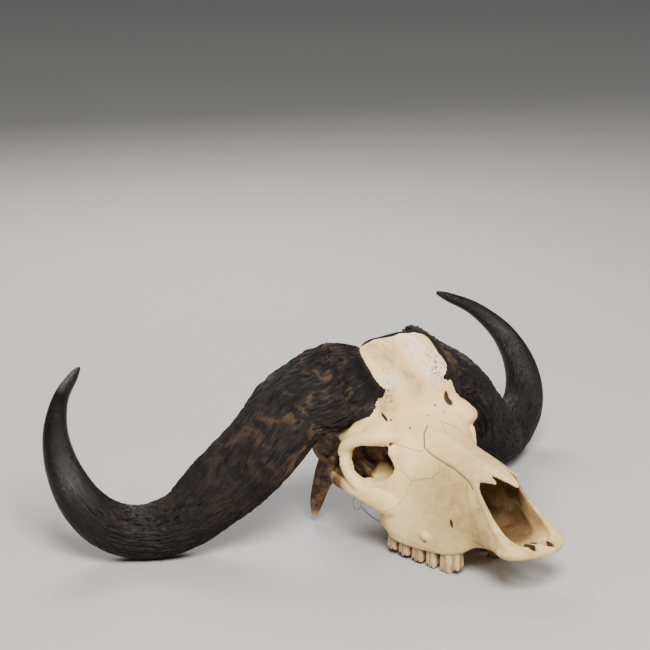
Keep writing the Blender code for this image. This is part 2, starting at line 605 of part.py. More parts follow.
def tooth_lobes(work):
    """Make the tooth row's crowns, as tapered lobes with a raised middle and low outer cusps."""
    lobes = []
    along = 0.0
    row = spline(TOOTH_ROW, 20)
    total = sum(tooth[1] for tooth in TEETH)
    for name, length, width, count, cusp in TEETH:
        for lobe in range(count):
            middle = (along + length * (lobe + 0.5) / count) / total
            spot = middle * (len(row) - 1)
            side, forward = row[int(spot)] + (row[min(int(spot) + 1, len(row) - 1)] - row[int(spot)]) * (spot % 1)
            reach = length / count * 0.5 * 1.04
            rings = []
            for up, scale in ((TOOTH_ROOT_UP, 0.80), (.0200, 0.92), (cusp + .0055, 1.0)):
                ring = []
                for k in range(8):
                    angle = 2 * math.pi * (k + 0.5) / 8
                    a = reach * scale * math.cos(angle) * 1.05
                    b = width * 0.5 * scale * math.sin(angle)
                    drop = 0.0
                    if up < .019:
                        drop = .0055 * max(0.0, math.sin(angle)) ** 0.5 * (1.0 if k % 2 else 0.55)
                    ring.append(at(-side - b, forward + a, up - drop))
                rings.append(ring)
            tooth = loft(name, rings, work)
            hollow_crown(tooth)
            lobes.append(tooth)
        along += length
    return lobes


def hollow_crown(tooth):
    """Raise the middle of the biting face, so that the cusps stand round a pit."""
    bm = bmesh.new()
    bm.from_mesh(tooth.data)
    face = min(bm.faces, key=lambda f: f.calc_center_median().z)
    middle = face.calc_center_median() + Vector((0, 0, .004))
    poked = bmesh.ops.poke(bm, faces=[face])
    poked["verts"][0].co = middle
    bm.to_mesh(tooth.data)
    bm.free()


def hanger(work):
    """Make the steel ring and the wire that ties it behind the right tooth row."""
    bm = bmesh.new()
    rows = []
    facing = Vector((-0.62, -0.78, 0.0)).normalized()
    level = facing.cross(Vector((0, 0, 1))).normalized()
    for i in range(RING_SIDES):
        angle = 2 * math.pi * i / RING_SIDES
        out = math.cos(angle) * level * RING_WIDE + math.sin(angle) * Vector((0, 0, RING_HIGH))
        spread = out.normalized()
        row = []
        for k in range(6):
            turn = 2 * math.pi * k / 6
            row.append(bm.verts.new(at(*RING) + out + RING_WIRE * (math.cos(turn) * spread + math.sin(turn) * facing)))
        rows.append(row)
    for i in range(RING_SIDES):
        after = rows[(i + 1) % RING_SIDES]
        for k in range(6):
            bm.faces.new((rows[i][k], rows[i][(k + 1) % 6], after[(k + 1) % 6], after[k]))
    ring = mesh_from("hanger_ring", bm, work)
    wire = tube("hanger_wire", TIE_WIRE, [TIE_RADIUS] * len(TIE_WIRE), work, sides=6)
    return ring, wire


def side_view(forward, up, depth):
    """Frame of an outline drawn on the right side, cut in along the side axis."""
    return at(-depth, forward, up)


def plan_view(side, forward, depth):
    """Frame of an outline drawn from above; the depth follows the slope of the nose."""
    return at(-side, forward, depth - 0.25 * (forward - 0.05))


def part_right_bones(body, work):
    """Part the right side's bones from the fused bone; the body keeps the cranium."""
    bones = {"nasal": part_nasal(body, work)}
    for name, outline, low, high in (("premaxilla", PREMAXILLA_SIDE, JOINT_GAP / 2, .100),
                                     ("lacrimal", LACRIMAL_SIDE, .036, .140),
                                     ("zygomatic", ZYGOMATIC_SIDE, .064, .150),
                                     ("maxilla", MAXILLA_SIDE, JOINT_GAP / 2, .150)):
        bones[name] = part_sideways(body, name, outline, low, high, work)
    return bones


def main():
    """Build the skull."""
    for obj in list(bpy.data.objects):
        bpy.data.objects.remove(obj)
    work = bpy.data.collections.new("work")
    skull = bpy.data.collections.new("cape_buffalo_skull")
    bpy.context.scene.collection.children.link(work)
    bpy.context.scene.collection.children.link(skull)

    body = fused_bone(work)
    horn = largest_body(loft("horn", horn_rings(), work))
    around_horn = swollen(horn, "around the horn", JOINT_GAP * 1.5, work)
    cut_both_sides(body, around_horn, work)
    largest_body(body)
    bones = part_right_bones(body, work)
    lobes = tooth_lobes(work)
    combine(bones["maxilla"], lobes, 'UNION', 'MANIFOLD')
    largest_body(bones["maxilla"])
    bones["horn"] = horn
    discard([around_horn] + lobes)

    cranium = copy_of(largest_body(body), "cranium", skull)
    paint(cranium, "bone", (0.78, 0.66, 0.46), 0.55)
    smooth(cranium)
    looks = {"horn": ("horn", (0.035, 0.028, 0.024), 0.4), "maxilla": ("bone", (0.82, 0.72, 0.54), 0.5)}
    for name, bone in bones.items():
        left = mirrored(bone, name + "_left", skull)
        right = copy_of(bone, name + "_right", skull)
        finish, colour, rough = looks.get(name, ("bone", (0.80, 0.69, 0.50), 0.5))
        for piece in (left, right):
            paint(piece, finish, colour, rough)
            smooth(piece)
    for piece in hanger(work):
        around = swollen(piece, "around", JOINT_GAP * 1.5, work)
        for bone in (cranium, bpy.data.objects["maxilla_right"]):
            combine(bone, [around], 'DIFFERENCE', 'MANIFOLD')
            largest_body(bone)
        metal = copy_of(largest_body(piece), piece.name + "_solid", skull)
        discard([around, piece])
        metal.name = metal.name.replace("_solid", "")
        paint(metal, "steel", (0.62, 0.62, 0.62), 0.3, 1.0)
        smooth(metal)
    discard([body] + list(bones.values()))
    bpy.data.collections.remove(work)


main()
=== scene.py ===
"""Dressed cape buffalo skull: ivory bone with sutures, stains and nerve holes, barky horn bosses
that turn to glossy tips, worn cheek teeth, and a steel ring on a twisted wire.

Places on the skull are (side, forward, up) in metres: side from the middle plane (negative is the
animal's right), forward from the back of the last molar, and up from the biting plane.
"""
import math

import bpy
import bmesh
import numpy as np
from bpy.props import FloatProperty, FloatVectorProperty, IntProperty, PointerProperty
from bpy.types import Operator, Panel, PropertyGroup
from mathutils import Matrix, Vector, noise


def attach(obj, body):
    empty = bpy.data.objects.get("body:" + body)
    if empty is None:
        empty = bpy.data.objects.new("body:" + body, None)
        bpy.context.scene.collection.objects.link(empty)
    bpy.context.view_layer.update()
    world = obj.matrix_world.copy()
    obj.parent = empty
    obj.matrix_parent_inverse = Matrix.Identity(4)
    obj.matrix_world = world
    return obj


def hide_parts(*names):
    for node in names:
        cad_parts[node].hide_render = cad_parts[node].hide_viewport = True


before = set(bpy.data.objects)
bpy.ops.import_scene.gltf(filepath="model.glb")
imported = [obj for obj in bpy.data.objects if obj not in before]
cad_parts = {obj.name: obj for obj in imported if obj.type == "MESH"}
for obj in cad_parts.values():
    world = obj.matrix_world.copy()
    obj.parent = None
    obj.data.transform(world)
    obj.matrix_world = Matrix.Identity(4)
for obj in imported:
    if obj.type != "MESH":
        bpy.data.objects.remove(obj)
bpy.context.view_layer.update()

bl_info = {
    "name": "Cape Buffalo Skull",
    "version": (1, 0, 0),
    "blender": (4, 5, 0),
    "location": "3D View > Sidebar > Skull",
    "description": "Dresses the packed buffalo skull with detailed bones, horns, teeth and a hanger",
    "category": "Object",
}

# Driving dimensions, the same as those of the solids
SKULL_BACK_TO_CENTRE = 0.054
BITING_PLANE_UP = 0.0061
JOINT_GAP = 0.0003

# Orbit, the eye socket: its middle, the turn of its plane, and outlines as (back, up) in it
ORBIT = (.0930, -.0020, .1350)
ORBIT_TURN = 27.2
ORBIT_HOLE = ((-.0370, .0010), (-.0335, -.0095), (-.0205, -.0225), (-.0030, -.0280), (.0150, -.0255), (.0275, -.0140),
              (.0330, .0000), (.0325, .0125), (.0265, .0215), (.0110, .0270), (-.0080, .0285), (-.0200, .0285),
              (-.0275, .0310), (-.0265, .0190), (-.0320, .0110))
ORBIT_RIM = ((-.0455, .0020), (-.0400, -.0180), (-.0240, -.0330), (-.0030, -.0400), (.0200, -.0410), (.0355, -.0280),
             (.0415, -.0070), (.0430, .0100), (.0380, .0260), (.0220, .0380), (.0000, .0420), (-.0220, .0420),
             (-.0290, .0330), (-.0400, .0220), (-.0450, .0100))
ORBIT_DEPTHS = ((.0300, 1.30, 0), (.0060, 1.05, 0), (-.0060, 1.00, 0), (-.0250, 1.04, .004), (-.0420, .86, .010),
                (-.0560, .50, .016))
RIM_DEPTHS = ((.0040, .90), (.0010, .98), (-.0050, 1.00), (-.0130, .98), (-.0200, .92))

# Half cross-sections of the face, the braincase and the nose hollow: forward, then (side, up)
FACE = (
    (0.2700, ((0, .0600), (.008, .0600), (.013, .0595), (.017, .0580), (.018, .0560), (.016, .0540), (.009, .0525), (0, .0525))),
    (0.2560, ((0, .0640), (.018, .0645), (.034, .0655), (.043, .0630), (.047, .0580), (.044, .0525), (.024, .0500), (0, .0500))),
    (0.2410, ((0, .0720), (.028, .0725), (.046, .0720), (.054, .0660), (.056, .0580), (.052, .0515), (.030, .0480), (0, .0480))),
    (0.2190, ((0, .0840), (.028, .0850), (.0435, .0835), (.0495, .0745), (.0515, .0640), (.049, .0535), (.030, .0480), (0, .0485))),
    (0.1940, ((0, .1010), (.024, .1030), (.0395, .1010), (.0465, .0900), (.0485, .0720), (.045, .0540), (.032, .0480), (0, .0490))),
    (0.1720, ((0, .1300), (.020, .1280), (.0355, .1215), (.0455, .1040), (.0505, .0760), (.043, .0500), (.034, .0450), (0, .0480))),
    (0.1600, ((0, .1500), (.024, .1460), (.0365, .1365), (.049, .1110), (.0545, .0770), (.046, .0440), (.036, .0410), (0, .0470))),
    (0.1450, ((0, .1570), (.026, .1490), (.0375, .1415), (.052, .1130), (.058, .0800), (.051, .0330), (.038, .0340), (0, .0460))),
    (0.1200, ((0, .1620), (.028, .1540), (.0385, .1465), (.054, .1180), (.063, .0740), (.058, .0250), (.039, .0300), (0, .0460))),
    (0.0880, ((0, .1690), (.028, .1600), (.0405, .1520), (.058, .1220), (.068, .0720), (.065, .0220), (.041, .0290), (0, .0460))),
    (0.0600, ((0, .1765), (.028, .1690), (.0445, .1590), (.064, .1280), (.074, .0800), (.070, .0210), (.042, .0290), (0, .0480))),
    (0.0350, ((0, .1860), (.034, .1820), (.056, .1735), (.073, .1450), (.082, .0930), (.0745, .0230), (.043, .0290), (0, .0500))),
    (0.0150, ((0, .1920), (.040, .1910), (.073, .1840), (.086, .1400), (.087, .0860), (.074, .0270), (.043, .0320), (0, .0550))),
    (0.0000, ((0, .1975), (.046, .1990), (.080, .1880), (.092, .1400), (.084, .0920), (.066, .0400), (.040, .0420), (0, .0600))),
    (-.0080, ((0, .2040), (.048, .2080), (.080, .1980), (.094, .1420), (.078, .0980), (.058, .0520), (.036, .0500), (0, .0640))),
    (-.0160, ((0, .2180), (.052, .2260), (.082, .2060), (.098, .1480), (.074, .1020), (.052, .0620), (.032, .0560), (0, .0660))),
    (-.0360, ((0, .2300), (.060, .2400), (.090, .1960), (.102, .1500), (.070, .1080), (.046, .0760), (.026, .0680), (0, .0720))),
)
BRAINCASE = (
    (-.0040, ((0, .1960), (.034, .1970), (.054, .1960), (.068, .1850), (.078, .1680), (.070, .1450), (.046, .1150), (.030, .0920), (0, .0880))),
    (-.0130, ((0, .2360), (.036, .2400), (.060, .2395), (.077, .2140), (.092, .1840), (.080, .1500), (.052, .1120), (.030, .0860), (0, .0820))),
    (-.0240, ((0, .2565), (.040, .2590), (.068, .2520), (.085, .2080), (.103, .1760), (.082, .1480), (.054, .1120), (.030, .0840), (0, .0800))),
    (-.0370, ((0, .2690), (.040, .2720), (.070, .2600), (.087, .2000), (.110, .1750), (.082, .1480), (.055, .1120), (.030, .0820), (0, .0780))),
    (-.0500, ((0, .2830), (.040, .2850), (.070, .2700), (.089, .1900), (.110, .1620), (.080, .1420), (.056, .1120), (.031, .0810), (0, .0770))),
    (-.0670, ((0, .2950), (.042, .2950), (.070, .2750), (.088, .1920), (.104, .1620), (.076, .1380), (.056, .1120), (.032, .0800), (0, .0760))),
    (-.0950, ((0, .2860), (.042, .2840), (.068, .2600), (.084, .2000), (.098, .1620), (.084, .1360), (.062, .1080), (.034, .0780), (0, .0740))),
    (-.1250, ((0, .2560), (.046, .2520), (.074, .2280), (.088, .1900), (.100, .1560), (.094, .1260), (.068, .0940), (.034, .0740), (0, .0740))),
    (-.1500, ((0, .2250), (.046, .2140), (.070, .1920), (.084, .1680), (.090, .1450), (.084, .1120), (.060, .0860), (.030, .0780), (0, .0820))),
    (-.1640, ((0, .1960), (.036, .1880), (.052, .1700), (.060, .1520), (.062, .1360), (.056, .1120), (.040, .0940), (.022, .0880), (0, .0920))),
)
NOSE_HOLLOW = (
    (0.2560, ((0, .0780), (.010, .0780), (.018, .0760), (.021, .0720), (.020, .0690), (.014, .0670), (.006, .0665), (0, .0665))),
    (0.2380, ((0, .1100), (.024, .1080), (.032, .0980), (.0355, .0840), (.035, .0700), (.028, .0630), (.012, .0615), (0, .0615))),
    (0.2050, ((0, .1500), (.026, .1480), (.034, .1380), (.0365, .1000), (.040, .0740), (.035, .0600), (.016, .0570), (0, .0570))),
    (0.1780, ((0, .1620), (.026, .1600), (.031, .1400), (.036, .1050), (.042, .0740), (.036, .0590), (.016, .0560), (0, .0560))),
    (0.1600, ((0, .1450), (.022, .1440), (.031, .1340), (.042, .1060), (.044, .0740), (.036, .0590), (.016, .0560), (0, .0560))),
    (0.1250, ((0, .1540), (.022, .1480), (.034, .1380), (.047, .1080), (.050, .0740), (.036, .0590), (.016, .0560), (0, .0560))),
    (0.0900, ((0, .1540), (.018, .1500), (.030, .1380), (.040, .1100), (.040, .0800), (.028, .0640), (.012, .0600), (0, .0600))),
    (0.0700, ((0, .1200), (.006, .1180), (.010, .1130), (.012, .1060), (.010, .1000), (.007, .0960), (.003, .0940), (0, .0940))),
)

# Horn: middle line (side, forward, up), half width, half thickness, turn of the width in degrees
HORN = (
    ((.0618, -.0422, .2659), .0380, .0117, 0),
    ((.0697, -.0651, .2532), .0516, .0172, 0),
    ((.0934, -.0931, .2328), .0636, .0260, 6),
    ((.1462, -.1194, .2005), .0667, .0403, 23),
    ((.1979, -.1247, .1506), .0615, .0458, 23),
    ((.2331, -.1404, .1138), .0570, .0466, 6),
    ((.2709, -.1569, .0788), .0503, .0455, 0),
    ((.3059, -.1740, .0499), .0440, .0431, 0),
    ((.3412, -.1952, .0341), .0402, .0400, 0),
    ((.3791, -.2121, .0382), .0374, .0370, 0),
    ((.4118, -.2256, .0552), .0352, .0345, 0),
    ((.4338, -.2396, .0806), .0325, .0315, 0),
    ((.4455, -.2571, .1105), .0288, .0280, 0),
    ((.4475, -.2805, .1446), .0238, .0230, 0),
    ((.4364, -.3085, .1800), .0180, .0175, 0),
    ((.4075, -.3396, .2136), .0120, .0116, 0),
    ((.3700, -.3640, .2350), .0076, .0074, 0),
    ((.3540, -.3735, .2430), .0030, .0030, 0),
)
BOSS_ACROSS = (0.0, -0.76, 0.65)
FRONT_FOOT = .0175                      # how far the boss swells over the bone at its front foot
BOSS_SHARE = 4 / 17                     # share of the horn over which the width turns

# Strip of horn along the back crest, between the bosses
CREST_STRIP = ((-.064, -.0690, .2825), (-.042, -.0725, .2930), (-.015, -.0745, .2950), (.015, -.0745, .2955),
               (.042, -.0725, .2930), (.064, -.0690, .2840))
CREST_RADII = (.0020, .0030, .0022, .0028, .0034, .0034)

# Steel ring and tie wire
RING = (-.0460, -.0930, .0375)
RING_WIDE = .0068
RING_HIGH = .0095
RING_WIRE = .0013
TIE_WIRE = ((-.0452, -.0810, .0330), (-.0460, -.0660, .0280), (-.0465, -.0500, .0250), (-.0475, -.0340, .0255),
            (-.0500, -.0200, .0320), (-.0530, -.0080, .0420))

# Teeth from front to back: length along the row, width, and how far the cusps reach down
TEETH = (
    (.0215, .0155, .0022),
    (.0260, .0190, -.0061),
    (.0220, .0200, -.0040),
    (.0250, .0210, -.0020),
    (.0250, .0215, .0000),
    (.0205, .0205, .0035),
)
TOOTH_ROW = ((.0430, .1375), (.0460, .1160), (.0515, .0760), (.0562, .0400), (.0605, .0030))
TOOTH_ROOT_UP = .0380

# Sutures, as outlines that the bones are parted along, and how dark each one shows
NASAL_PLAN = ((.0000, .0560), (.0130, .0300), (.0300, .0420), (.0410, .0560), (.0385, .0930), (.0375, .1180),
              (.0385, .1500), (.0400, .1590), (.0600, .1630), (.0600, .2300), (.0000, .2300))
NASAL_LOW = .150
NASAL_HIGH = .300
PREMAXILLA_SIDE = ((.1470, .1430), (.1493, .1310), (.1640, .1020), (.1750, .0865), (.1830, .0690), (.1894, .0300),
                   (.2900, .0300), (.2900, .1100), (.2200, .1300), (.1700, .1520), (.1560, .1500))
LACRIMAL_SIDE = ((.0890, .1650), (.0890, .1530), (.0950, .1395), (.0890, .1300), (.0580, .1200), (.0420, .1330),
                 (.0250, .1340), (.0150, .1600), (.0220, .1690), (.0430, .1620), (.0560, .1590), (.0600, .1700))
ZYGOMATIC_SIDE = ((.0580, .1195), (.0540, .0960), (.0420, .0800), (.0240, .0660), (.0060, .0560), (-.0300, .0600),
                  (-.0720, .0700), (-.0720, .1120), (-.0560, .1240), (-.0250, .1300), (.0250, .1335), (.0420, .1325))
MAXILLA_SIDE = ((.2000, .0200), (.2000, .2000), (.0640, .2000), (.0600, .1180), (.0480, .0950), (.0120, .0760),
                (-.0120, .0520), (-.0060, -.0300), (.1700, -.0300))
BONES = (
    ("premaxilla", PREMAXILLA_SIDE, JOINT_GAP / 2, .100, .30),
    ("lacrimal", LACRIMAL_SIDE, .036, .140, .35),
    ("zygomatic", ZYGOMATIC_SIDE, .064, .150, .22),
    ("maxilla", MAXILLA_SIDE, JOINT_GAP / 2, .150, .22),
)
NASAL_DARK = 1.0
SUTURE_STEP = .0022                     # length between two turns of a wavy suture
SUTURE_WANDER = .0006                   # how far a suture wanders from its drawn line

# Marks on the bone, as (side, forward, up), reach and strength
TAN_MARKS = (
    ((-.048, -.056, .287), .022, 1.0), ((-.028, -.040, .275), .017, .8), ((-.012, -.048, .284), .016, .5),
    ((-.0157, -.025, .257), .010, .9), ((-.006, -.017, .245), .011, 1.1), ((.005, -.012, .231), .011, 1.1),
    ((-.002, -.011, .228), .009, .8), ((-.062, -.010, .224), .014, 1.4), ((-.052, -.007, .212), .012, 1.0),
    ((-.066, -.008, .206), .010, .8), ((-.071, -.001, .199), .006, .9), ((.058, -.010, .222), .010, .6),
    ((.056, -.008, .206), .008, .6), ((-.008, .240, .056), .030, .7), ((-.046, .210, .062), .016, .8),
    ((-.050, .190, .056), .016, .9), ((.046, .215, .070), .018, .8), ((-.030, .255, .060), .018, .6),
    ((-.075, .035, .150), .012, .5), ((.075, .035, .150), .012, .6), ((-.068, .062, .118), .014, .5),
    ((-.060, .080, .128), .012, .5), ((-.066, .104, .038), .008, .7), ((-.070, .090, .036), .006, .7),
    ((-.052, .222, .068), .017, 1.2), ((-.053, .243, .066), .016, 1.2), ((-.038, .257, .064), .014, 1.1),
    ((-.009, .266, .060), .013, .8), ((.023, .263, .062), .012, .8), ((.042, .249, .068), .014, 1.0),
    ((.047, .222, .081), .014, .8), ((.040, .192, .104), .013, .5), ((-.048, .200, .080), .012, .7),
    ((-.060, -.013, .235), .012, 1.0), ((-.048, -.014, .243), .010, .8), ((0, -.170, .200), .034, .6), ((.040, -.160, .170), .030, .6),
    ((-.040, -.150, .220), .028, .5), ((.020, -.120, .250), .024, .5),
    ((-.060, .060, .030), .014, .4), ((-.064, .020, .030), .014, .4), ((.060, .080, .030), .016, .4),
)
# Dark stain mixed with painted shade: under the horns, at the back of the skull and in and behind the orbits; the marks
# inside the nose are painted shade only
DARK_STAIN_AND_SHADE_MARKS = (
    ((-.086, -.062, .190), .020, 1.2), ((-.085, -.095, .160), .034, 1.5), ((-.060, -.130, .120), .050, 1.5),
    ((-.080, -.100, .100), .034, 1.2), ((-.075, -.150, .050), .030, 1.0), ((-.030, -.110, .080), .040, 1.0),
    ((.086, -.062, .190), .020, 1.2), ((.085, -.095, .160), .034, 1.5), ((.060, -.130, .120), .050, 1.5),
    ((.080, -.100, .100), .034, 1.2), ((.075, -.150, .050), .030, 1.0), ((.030, -.110, .080), .040, 1.0),
    ((-.112, -.052, .098), .013, 1.3), ((-.100, -.086, .106), .018, 1.3), ((-.068, -.150, .060), .022, 1.5),
    ((-.073, -.157, .030), .018, 1.2), ((-.058, -.018, .140), .021, 1.4), ((-.066, -.034, .150), .020, 1.3),
    ((-.052, .004, .146), .014, 1.0),
    ((.022, .160, .110), .024, 1.3), ((-.012, .175, .080), .026, 1.3), ((.012, .195, .070), .020, .9),
    ((-.068, -.004, .150), .015, 1.2), ((-.062, .010, .150), .012, .9),
    ((-.090, -.044, .200), .014, .9), ((.090, -.044, .200), .014, 1.1), ((-.078, -.028, .214), .008, .7),
    ((.078, -.028, .214), .009, .9), ((.084, -.030, .200), .010, .6), ((0, .150, .090), .050, .8),
    ((0, .100, .100), .050, .9), ((.0, .190, .070), .020, .45),
)
CHALK_MARKS = (
    ((.024, -.042, .277), .016, 1.0), ((.040, -.027, .262), .018, 1.2), ((.050, -.014, .240), .016, 1.1),
    ((.030, -.061, .294), .016, 1.2), ((.012, -.066, .294), .014, .7), ((.058, -.030, .262), .016, 1.0),
    ((-.050, -.022, .250), .011, .7), ((-.040, -.018, .240), .014, .7), ((.030, -.020, .250), .013, .8),
    ((-.058, -.020, .244), .008, .9), ((.020, -.030, .262), .012, .6),
)
PIT_MARKS = (
    ((.052, -.024, .256), .012, 1.3), ((.046, -.018, .246), .011, 1.2), ((.056, -.014, .238), .009, 1.0),
    ((.046, -.036, .270), .009, .8), ((-.056, -.016, .238), .010, .9), ((-.052, -.012, .226), .011, 1.0),
    ((-.046, -.028, .260), .008, .6), ((.018, -.052, .286), .010, .5), ((.060, -.010, .228), .007, .8),
)

# Places where the masses of bone run into each other smoothly, as (side, forward, up) and reach
SOFT_MARKS = (
    ((.068, .012, .188), .022, 1.2), ((.086, -.004, .190), .017, 1.1), ((.054, .022, .184), .018, 1.0),
    ((.100, -.026, .178), .014, .8), ((.078, .042, .078), .016, .9), ((.068, .056, .084), .018, .9),
    ((.070, .090, .045), .012, .9), ((.070, .060, .058), .016, .8), ((.084, .010, .070), .014, .7),
)
SOFT_ROUNDS = 60

# Nerve holes: middle, radii and turn about the side axis and the upright axis, in degrees
NERVE_HOLES = (
    ((-.0700, .0000, .2010), (.0021, .0105, .0090), (-24, 0, -14)),
    ((-.0655, .0105, .1950), (.0021, .0024, .0060), (-20, 0, 0)),
    ((.0545, -.004, .2040), (.0042, .0110, .0110), (-35, 0, 0)),
    ((-.0421, .0248, .1862), (.0013, .0013, .0045), (-20, 0, 0)),
    ((.0283, -.0015, .2005), (.0011, .0013, .0040), (-20, 0, 0)),
    ((.0333, .0131, .1923), (.0009, .0011, .0040), (-20, 0, 0)),
    ((.0036, .0116, .1934), (.0009, .0010, .0040), (-20, 0, 0)),
    ((-.0590, .1370, .0760), (.0090, .0022, .0056), (-15, 0, 0)),
    ((.0590, .1370, .0760), (.0090, .0024, .0054), (-15, 0, 0)),
    ((-.0700, .0900, .0375), (.0040, .0022, .0012), (0, 0, 0)),
    ((-.0785, .0250, .1690), (.0035, .0018, .0026), (0, 0, 0)),
    ((-.0110, .2470, .0600), (.0054, .0150, .0220), (0, 0, -22)),
    ((.0105, .2490, .0600), (.0062, .0160, .0220), (0, 0, 26)),
)


def at(side, forward, up):
    """Return a place on the skull as a vector in the model's frame."""
    return Vector((side, -forward - SKULL_BACK_TO_CENTRE, up + BITING_PLANE_UP))


def skull_places(points):
    """Return rows of (side, forward, up) for rows of points in the model's frame."""
    return np.column_stack((points[:, 0], -points[:, 1] - SKULL_BACK_TO_CENTRE, points[:, 2] - BITING_PLANE_UP))


def spline(points, steps):
    """Return a smooth curve through the points, with steps spans between two of them."""
    points = np.array(points, float)
    ends = np.vstack([2 * points[0] - points[1], points, 2 * points[-1] - points[-2]])
    curve = []
    for i in range(len(points) - 1):
        a, b, c, d = ends[i:i + 4]
        for t in np.arange(steps) / steps:
            curve.append(b + 0.5 * t * (c - a + t * (2 * a - 5 * b + 4 * c - d + t * (3 * (b - c) + d - a))))
    curve.append(points[-1])
    return np.array(curve)


def smooth_step(low, high, values):
    """Rise from 0 at low to 1 at high."""
    share = np.clip((values - low) / (high - low), 0, 1)
    return share * share * (3 - 2 * share)


def clouds(points, size, octaves=1, seed=0.0):
    """Return soft noise between about -1 and 1 at rows of points, with lumps of one size."""
    places = (points / size + seed).tolist()
    if octaves == 1:
        return np.array([noise.noise(p) for p in places])
    return np.array([noise.fractal(p, 1.0, 2.0, octaves) for p in places])


def new_object(name, mesh):
    """Link a mesh to the scene as a named object."""
    obj = bpy.data.objects.new(name, mesh)
    bpy.context.scene.collection.objects.link(obj)
    return obj


def mesh_from(name, bm):
    """Write a bmesh to a new object, with its faces pointing out."""
    bmesh.ops.recalc_face_normals(bm, faces=bm.faces)
    mesh = bpy.data.meshes.new(name)
    bm.to_mesh(mesh)
    bm.free()
    return new_object(name, mesh)


def loft(name, rings, closed=False):
    """Skin rings of equally many points, with caps or as a closed loop."""
    bm = bmesh.new()
    rows = [[bm.verts.new(point) for point in ring] for ring in rings]
    pairs = list(zip(rows, rows[1:]))
    if closed:
        pairs.append((rows[-1], rows[0]))
    for front, back in pairs:
        for i in range(len(front)):
            j = (i + 1) % len(front)
            bm.faces.new((front[i], front[j], back[j], back[i]))
    if not closed:
        bm.faces.new(rows[0])
        bm.faces.new(reversed(rows[-1]))
    return mesh_from(name, bm)


def section_loft(name, sections, around=4, along=4):
    """Skin a table of half cross-sections, mirrored across the middle plane."""
    outlines = [spline([(forward, side, up) for side, up in half], around) for forward, half in sections]
    grid = spline([outline.ravel() for outline in outlines], along)
    rings = []
    for row in grid:
        right = [at(-max(side, 0), forward, up) for forward, side, up in row.reshape(-1, 3)]
        rings.append(right + [Vector((-p.x, p.y, p.z)) for p in right[-2:0:-1]])
    return loft(name, rings)


def ellipsoid(name, centre, radii, turn=(0, 0, 0), around=28):
    """Add a ball stretched to three radii, turned by angles in degrees."""
    bm = bmesh.new()
    spin = Matrix.Rotation(math.radians(turn[2]), 4, 'Z')
    spin = spin @ Matrix.Rotation(math.radians(turn[1]), 4, 'Y') @ Matrix.Rotation(math.radians(turn[0]), 4, 'X')
    place = Matrix.Translation(at(*centre)) @ spin @ Matrix.Diagonal((*radii, 1))
    bmesh.ops.create_uvsphere(bm, u_segments=around, v_segments=around * 2 // 3, radius=1.0, matrix=place)
    return mesh_from(name, bm)


def tube(name, points, radii, flat=1.0, sides=16):
    """Run a round or flattened bar along a smooth line, with its own radius at each point."""
    line = spline([at(*p) for p in points], 5)
    sizes = spline([(r,) for r in radii], 5)[:, 0]
    rings = []
    for i, centre in enumerate(line):
        ahead = Vector(line[min(i + 1, len(line) - 1)]) - Vector(line[max(i - 1, 0)])
        across = ahead.cross(Vector((0, 0, 1))).normalized()
        upward = across.cross(ahead).normalized()
        ring = []
        for k in range(sides):
            angle = 2 * math.pi * k / sides
            out = math.cos(angle) * flat * across + math.sin(angle) * upward
            ring.append(Vector(centre) + out * float(sizes[i]))
        rings.append(ring)
    return loft(name, rings)


def orbit_loft(name, outline, depths):
    """Skin an outline of the orbit's plane through depths (out, scale, shift to the back)."""
    turn = math.radians(ORBIT_TURN)
    backward = Vector((-math.sin(turn), math.cos(turn), 0))
    outward = Vector((-math.cos(turn), -math.sin(turn), 0))
    middle = at(-ORBIT[0], ORBIT[1], ORBIT[2])
    rings = []
    for out, scale, shift in depths:
        rings.append([middle + outward * out + backward * (back * scale + shift) + Vector((0, 0, up * scale))
                      for back, up in outline])
    return loft(name, rings)


def prism(name, outline, view, low, high):
    """Extrude a flat outline between two depths; view turns (a, b, depth) into a place."""
    bm = bmesh.new()
    floor = [bm.verts.new(view(a, b, low)) for a, b in outline]
    roof = [bm.verts.new(view(a, b, high)) for a, b in outline]
    count = len(outline)
    for i in range(count):
        bm.faces.new((floor[i], floor[(i + 1) % count], roof[(i + 1) % count], roof[i]))
    bm.faces.new(floor)
    bm.faces.new(roof)
    bmesh.ops.triangulate(bm, faces=[f for f in bm.faces if len(f.verts) > 4])
    return mesh_from(name, bm)


def grown(outline, distance):
    """Return a flat outline with every edge moved outward by the distance."""
    points = [Vector(p) for p in outline]
    area = sum(a.x * b.y - b.x * a.y for a, b in zip(points, points[1:] + points[:1]))
    turn = 1 if area > 0 else -1
    result = []
    for i, point in enumerate(points):
        before = (point - points[i - 1]).normalized()
        after = (points[(i + 1) % len(points)] - point).normalized()
        normal = Vector((before.y, -before.x)) + Vector((after.y, -after.x))
        normal = normal.normalized() * turn
        result.append(tuple(point + normal * distance / max(0.4, abs(normal.dot(Vector((before.y, -before.x)))))))
    return result


def wavy(outline):
    """Return an outline with short wandering steps, as a suture has."""
    points = []
    for start, end in zip(outline, outline[1:] + outline[:1]):
        run = Vector(end) - Vector(start)
        steps = max(1, round(run.length / SUTURE_STEP))
        across = Vector((-run.y, run.x)).normalized()
        for i in range(steps):
            place = Vector(start) + run * (i / steps)
            wander = noise.noise((place.x * 400, place.y * 400, 3.0)) * SUTURE_WANDER if i else 0.0
            points.append(tuple(place + across * wander))
    return points


def distance_to_outline(points, outline, closed=True):
    """Return how far rows of flat points are from an outline."""
    nearest = np.full(len(points), 1.0)
    corners = [np.array(p[:2]) for p in outline]
    for start, end in zip(corners, corners[1:] + (corners[:1] if closed else [])):
        run = end - start
        share = np.clip((points - start) @ run / max(1e-12, run @ run), 0, 1)
        nearest = np.minimum(nearest, np.linalg.norm(points - start - share[:, None] * run, axis=1))
    return nearest


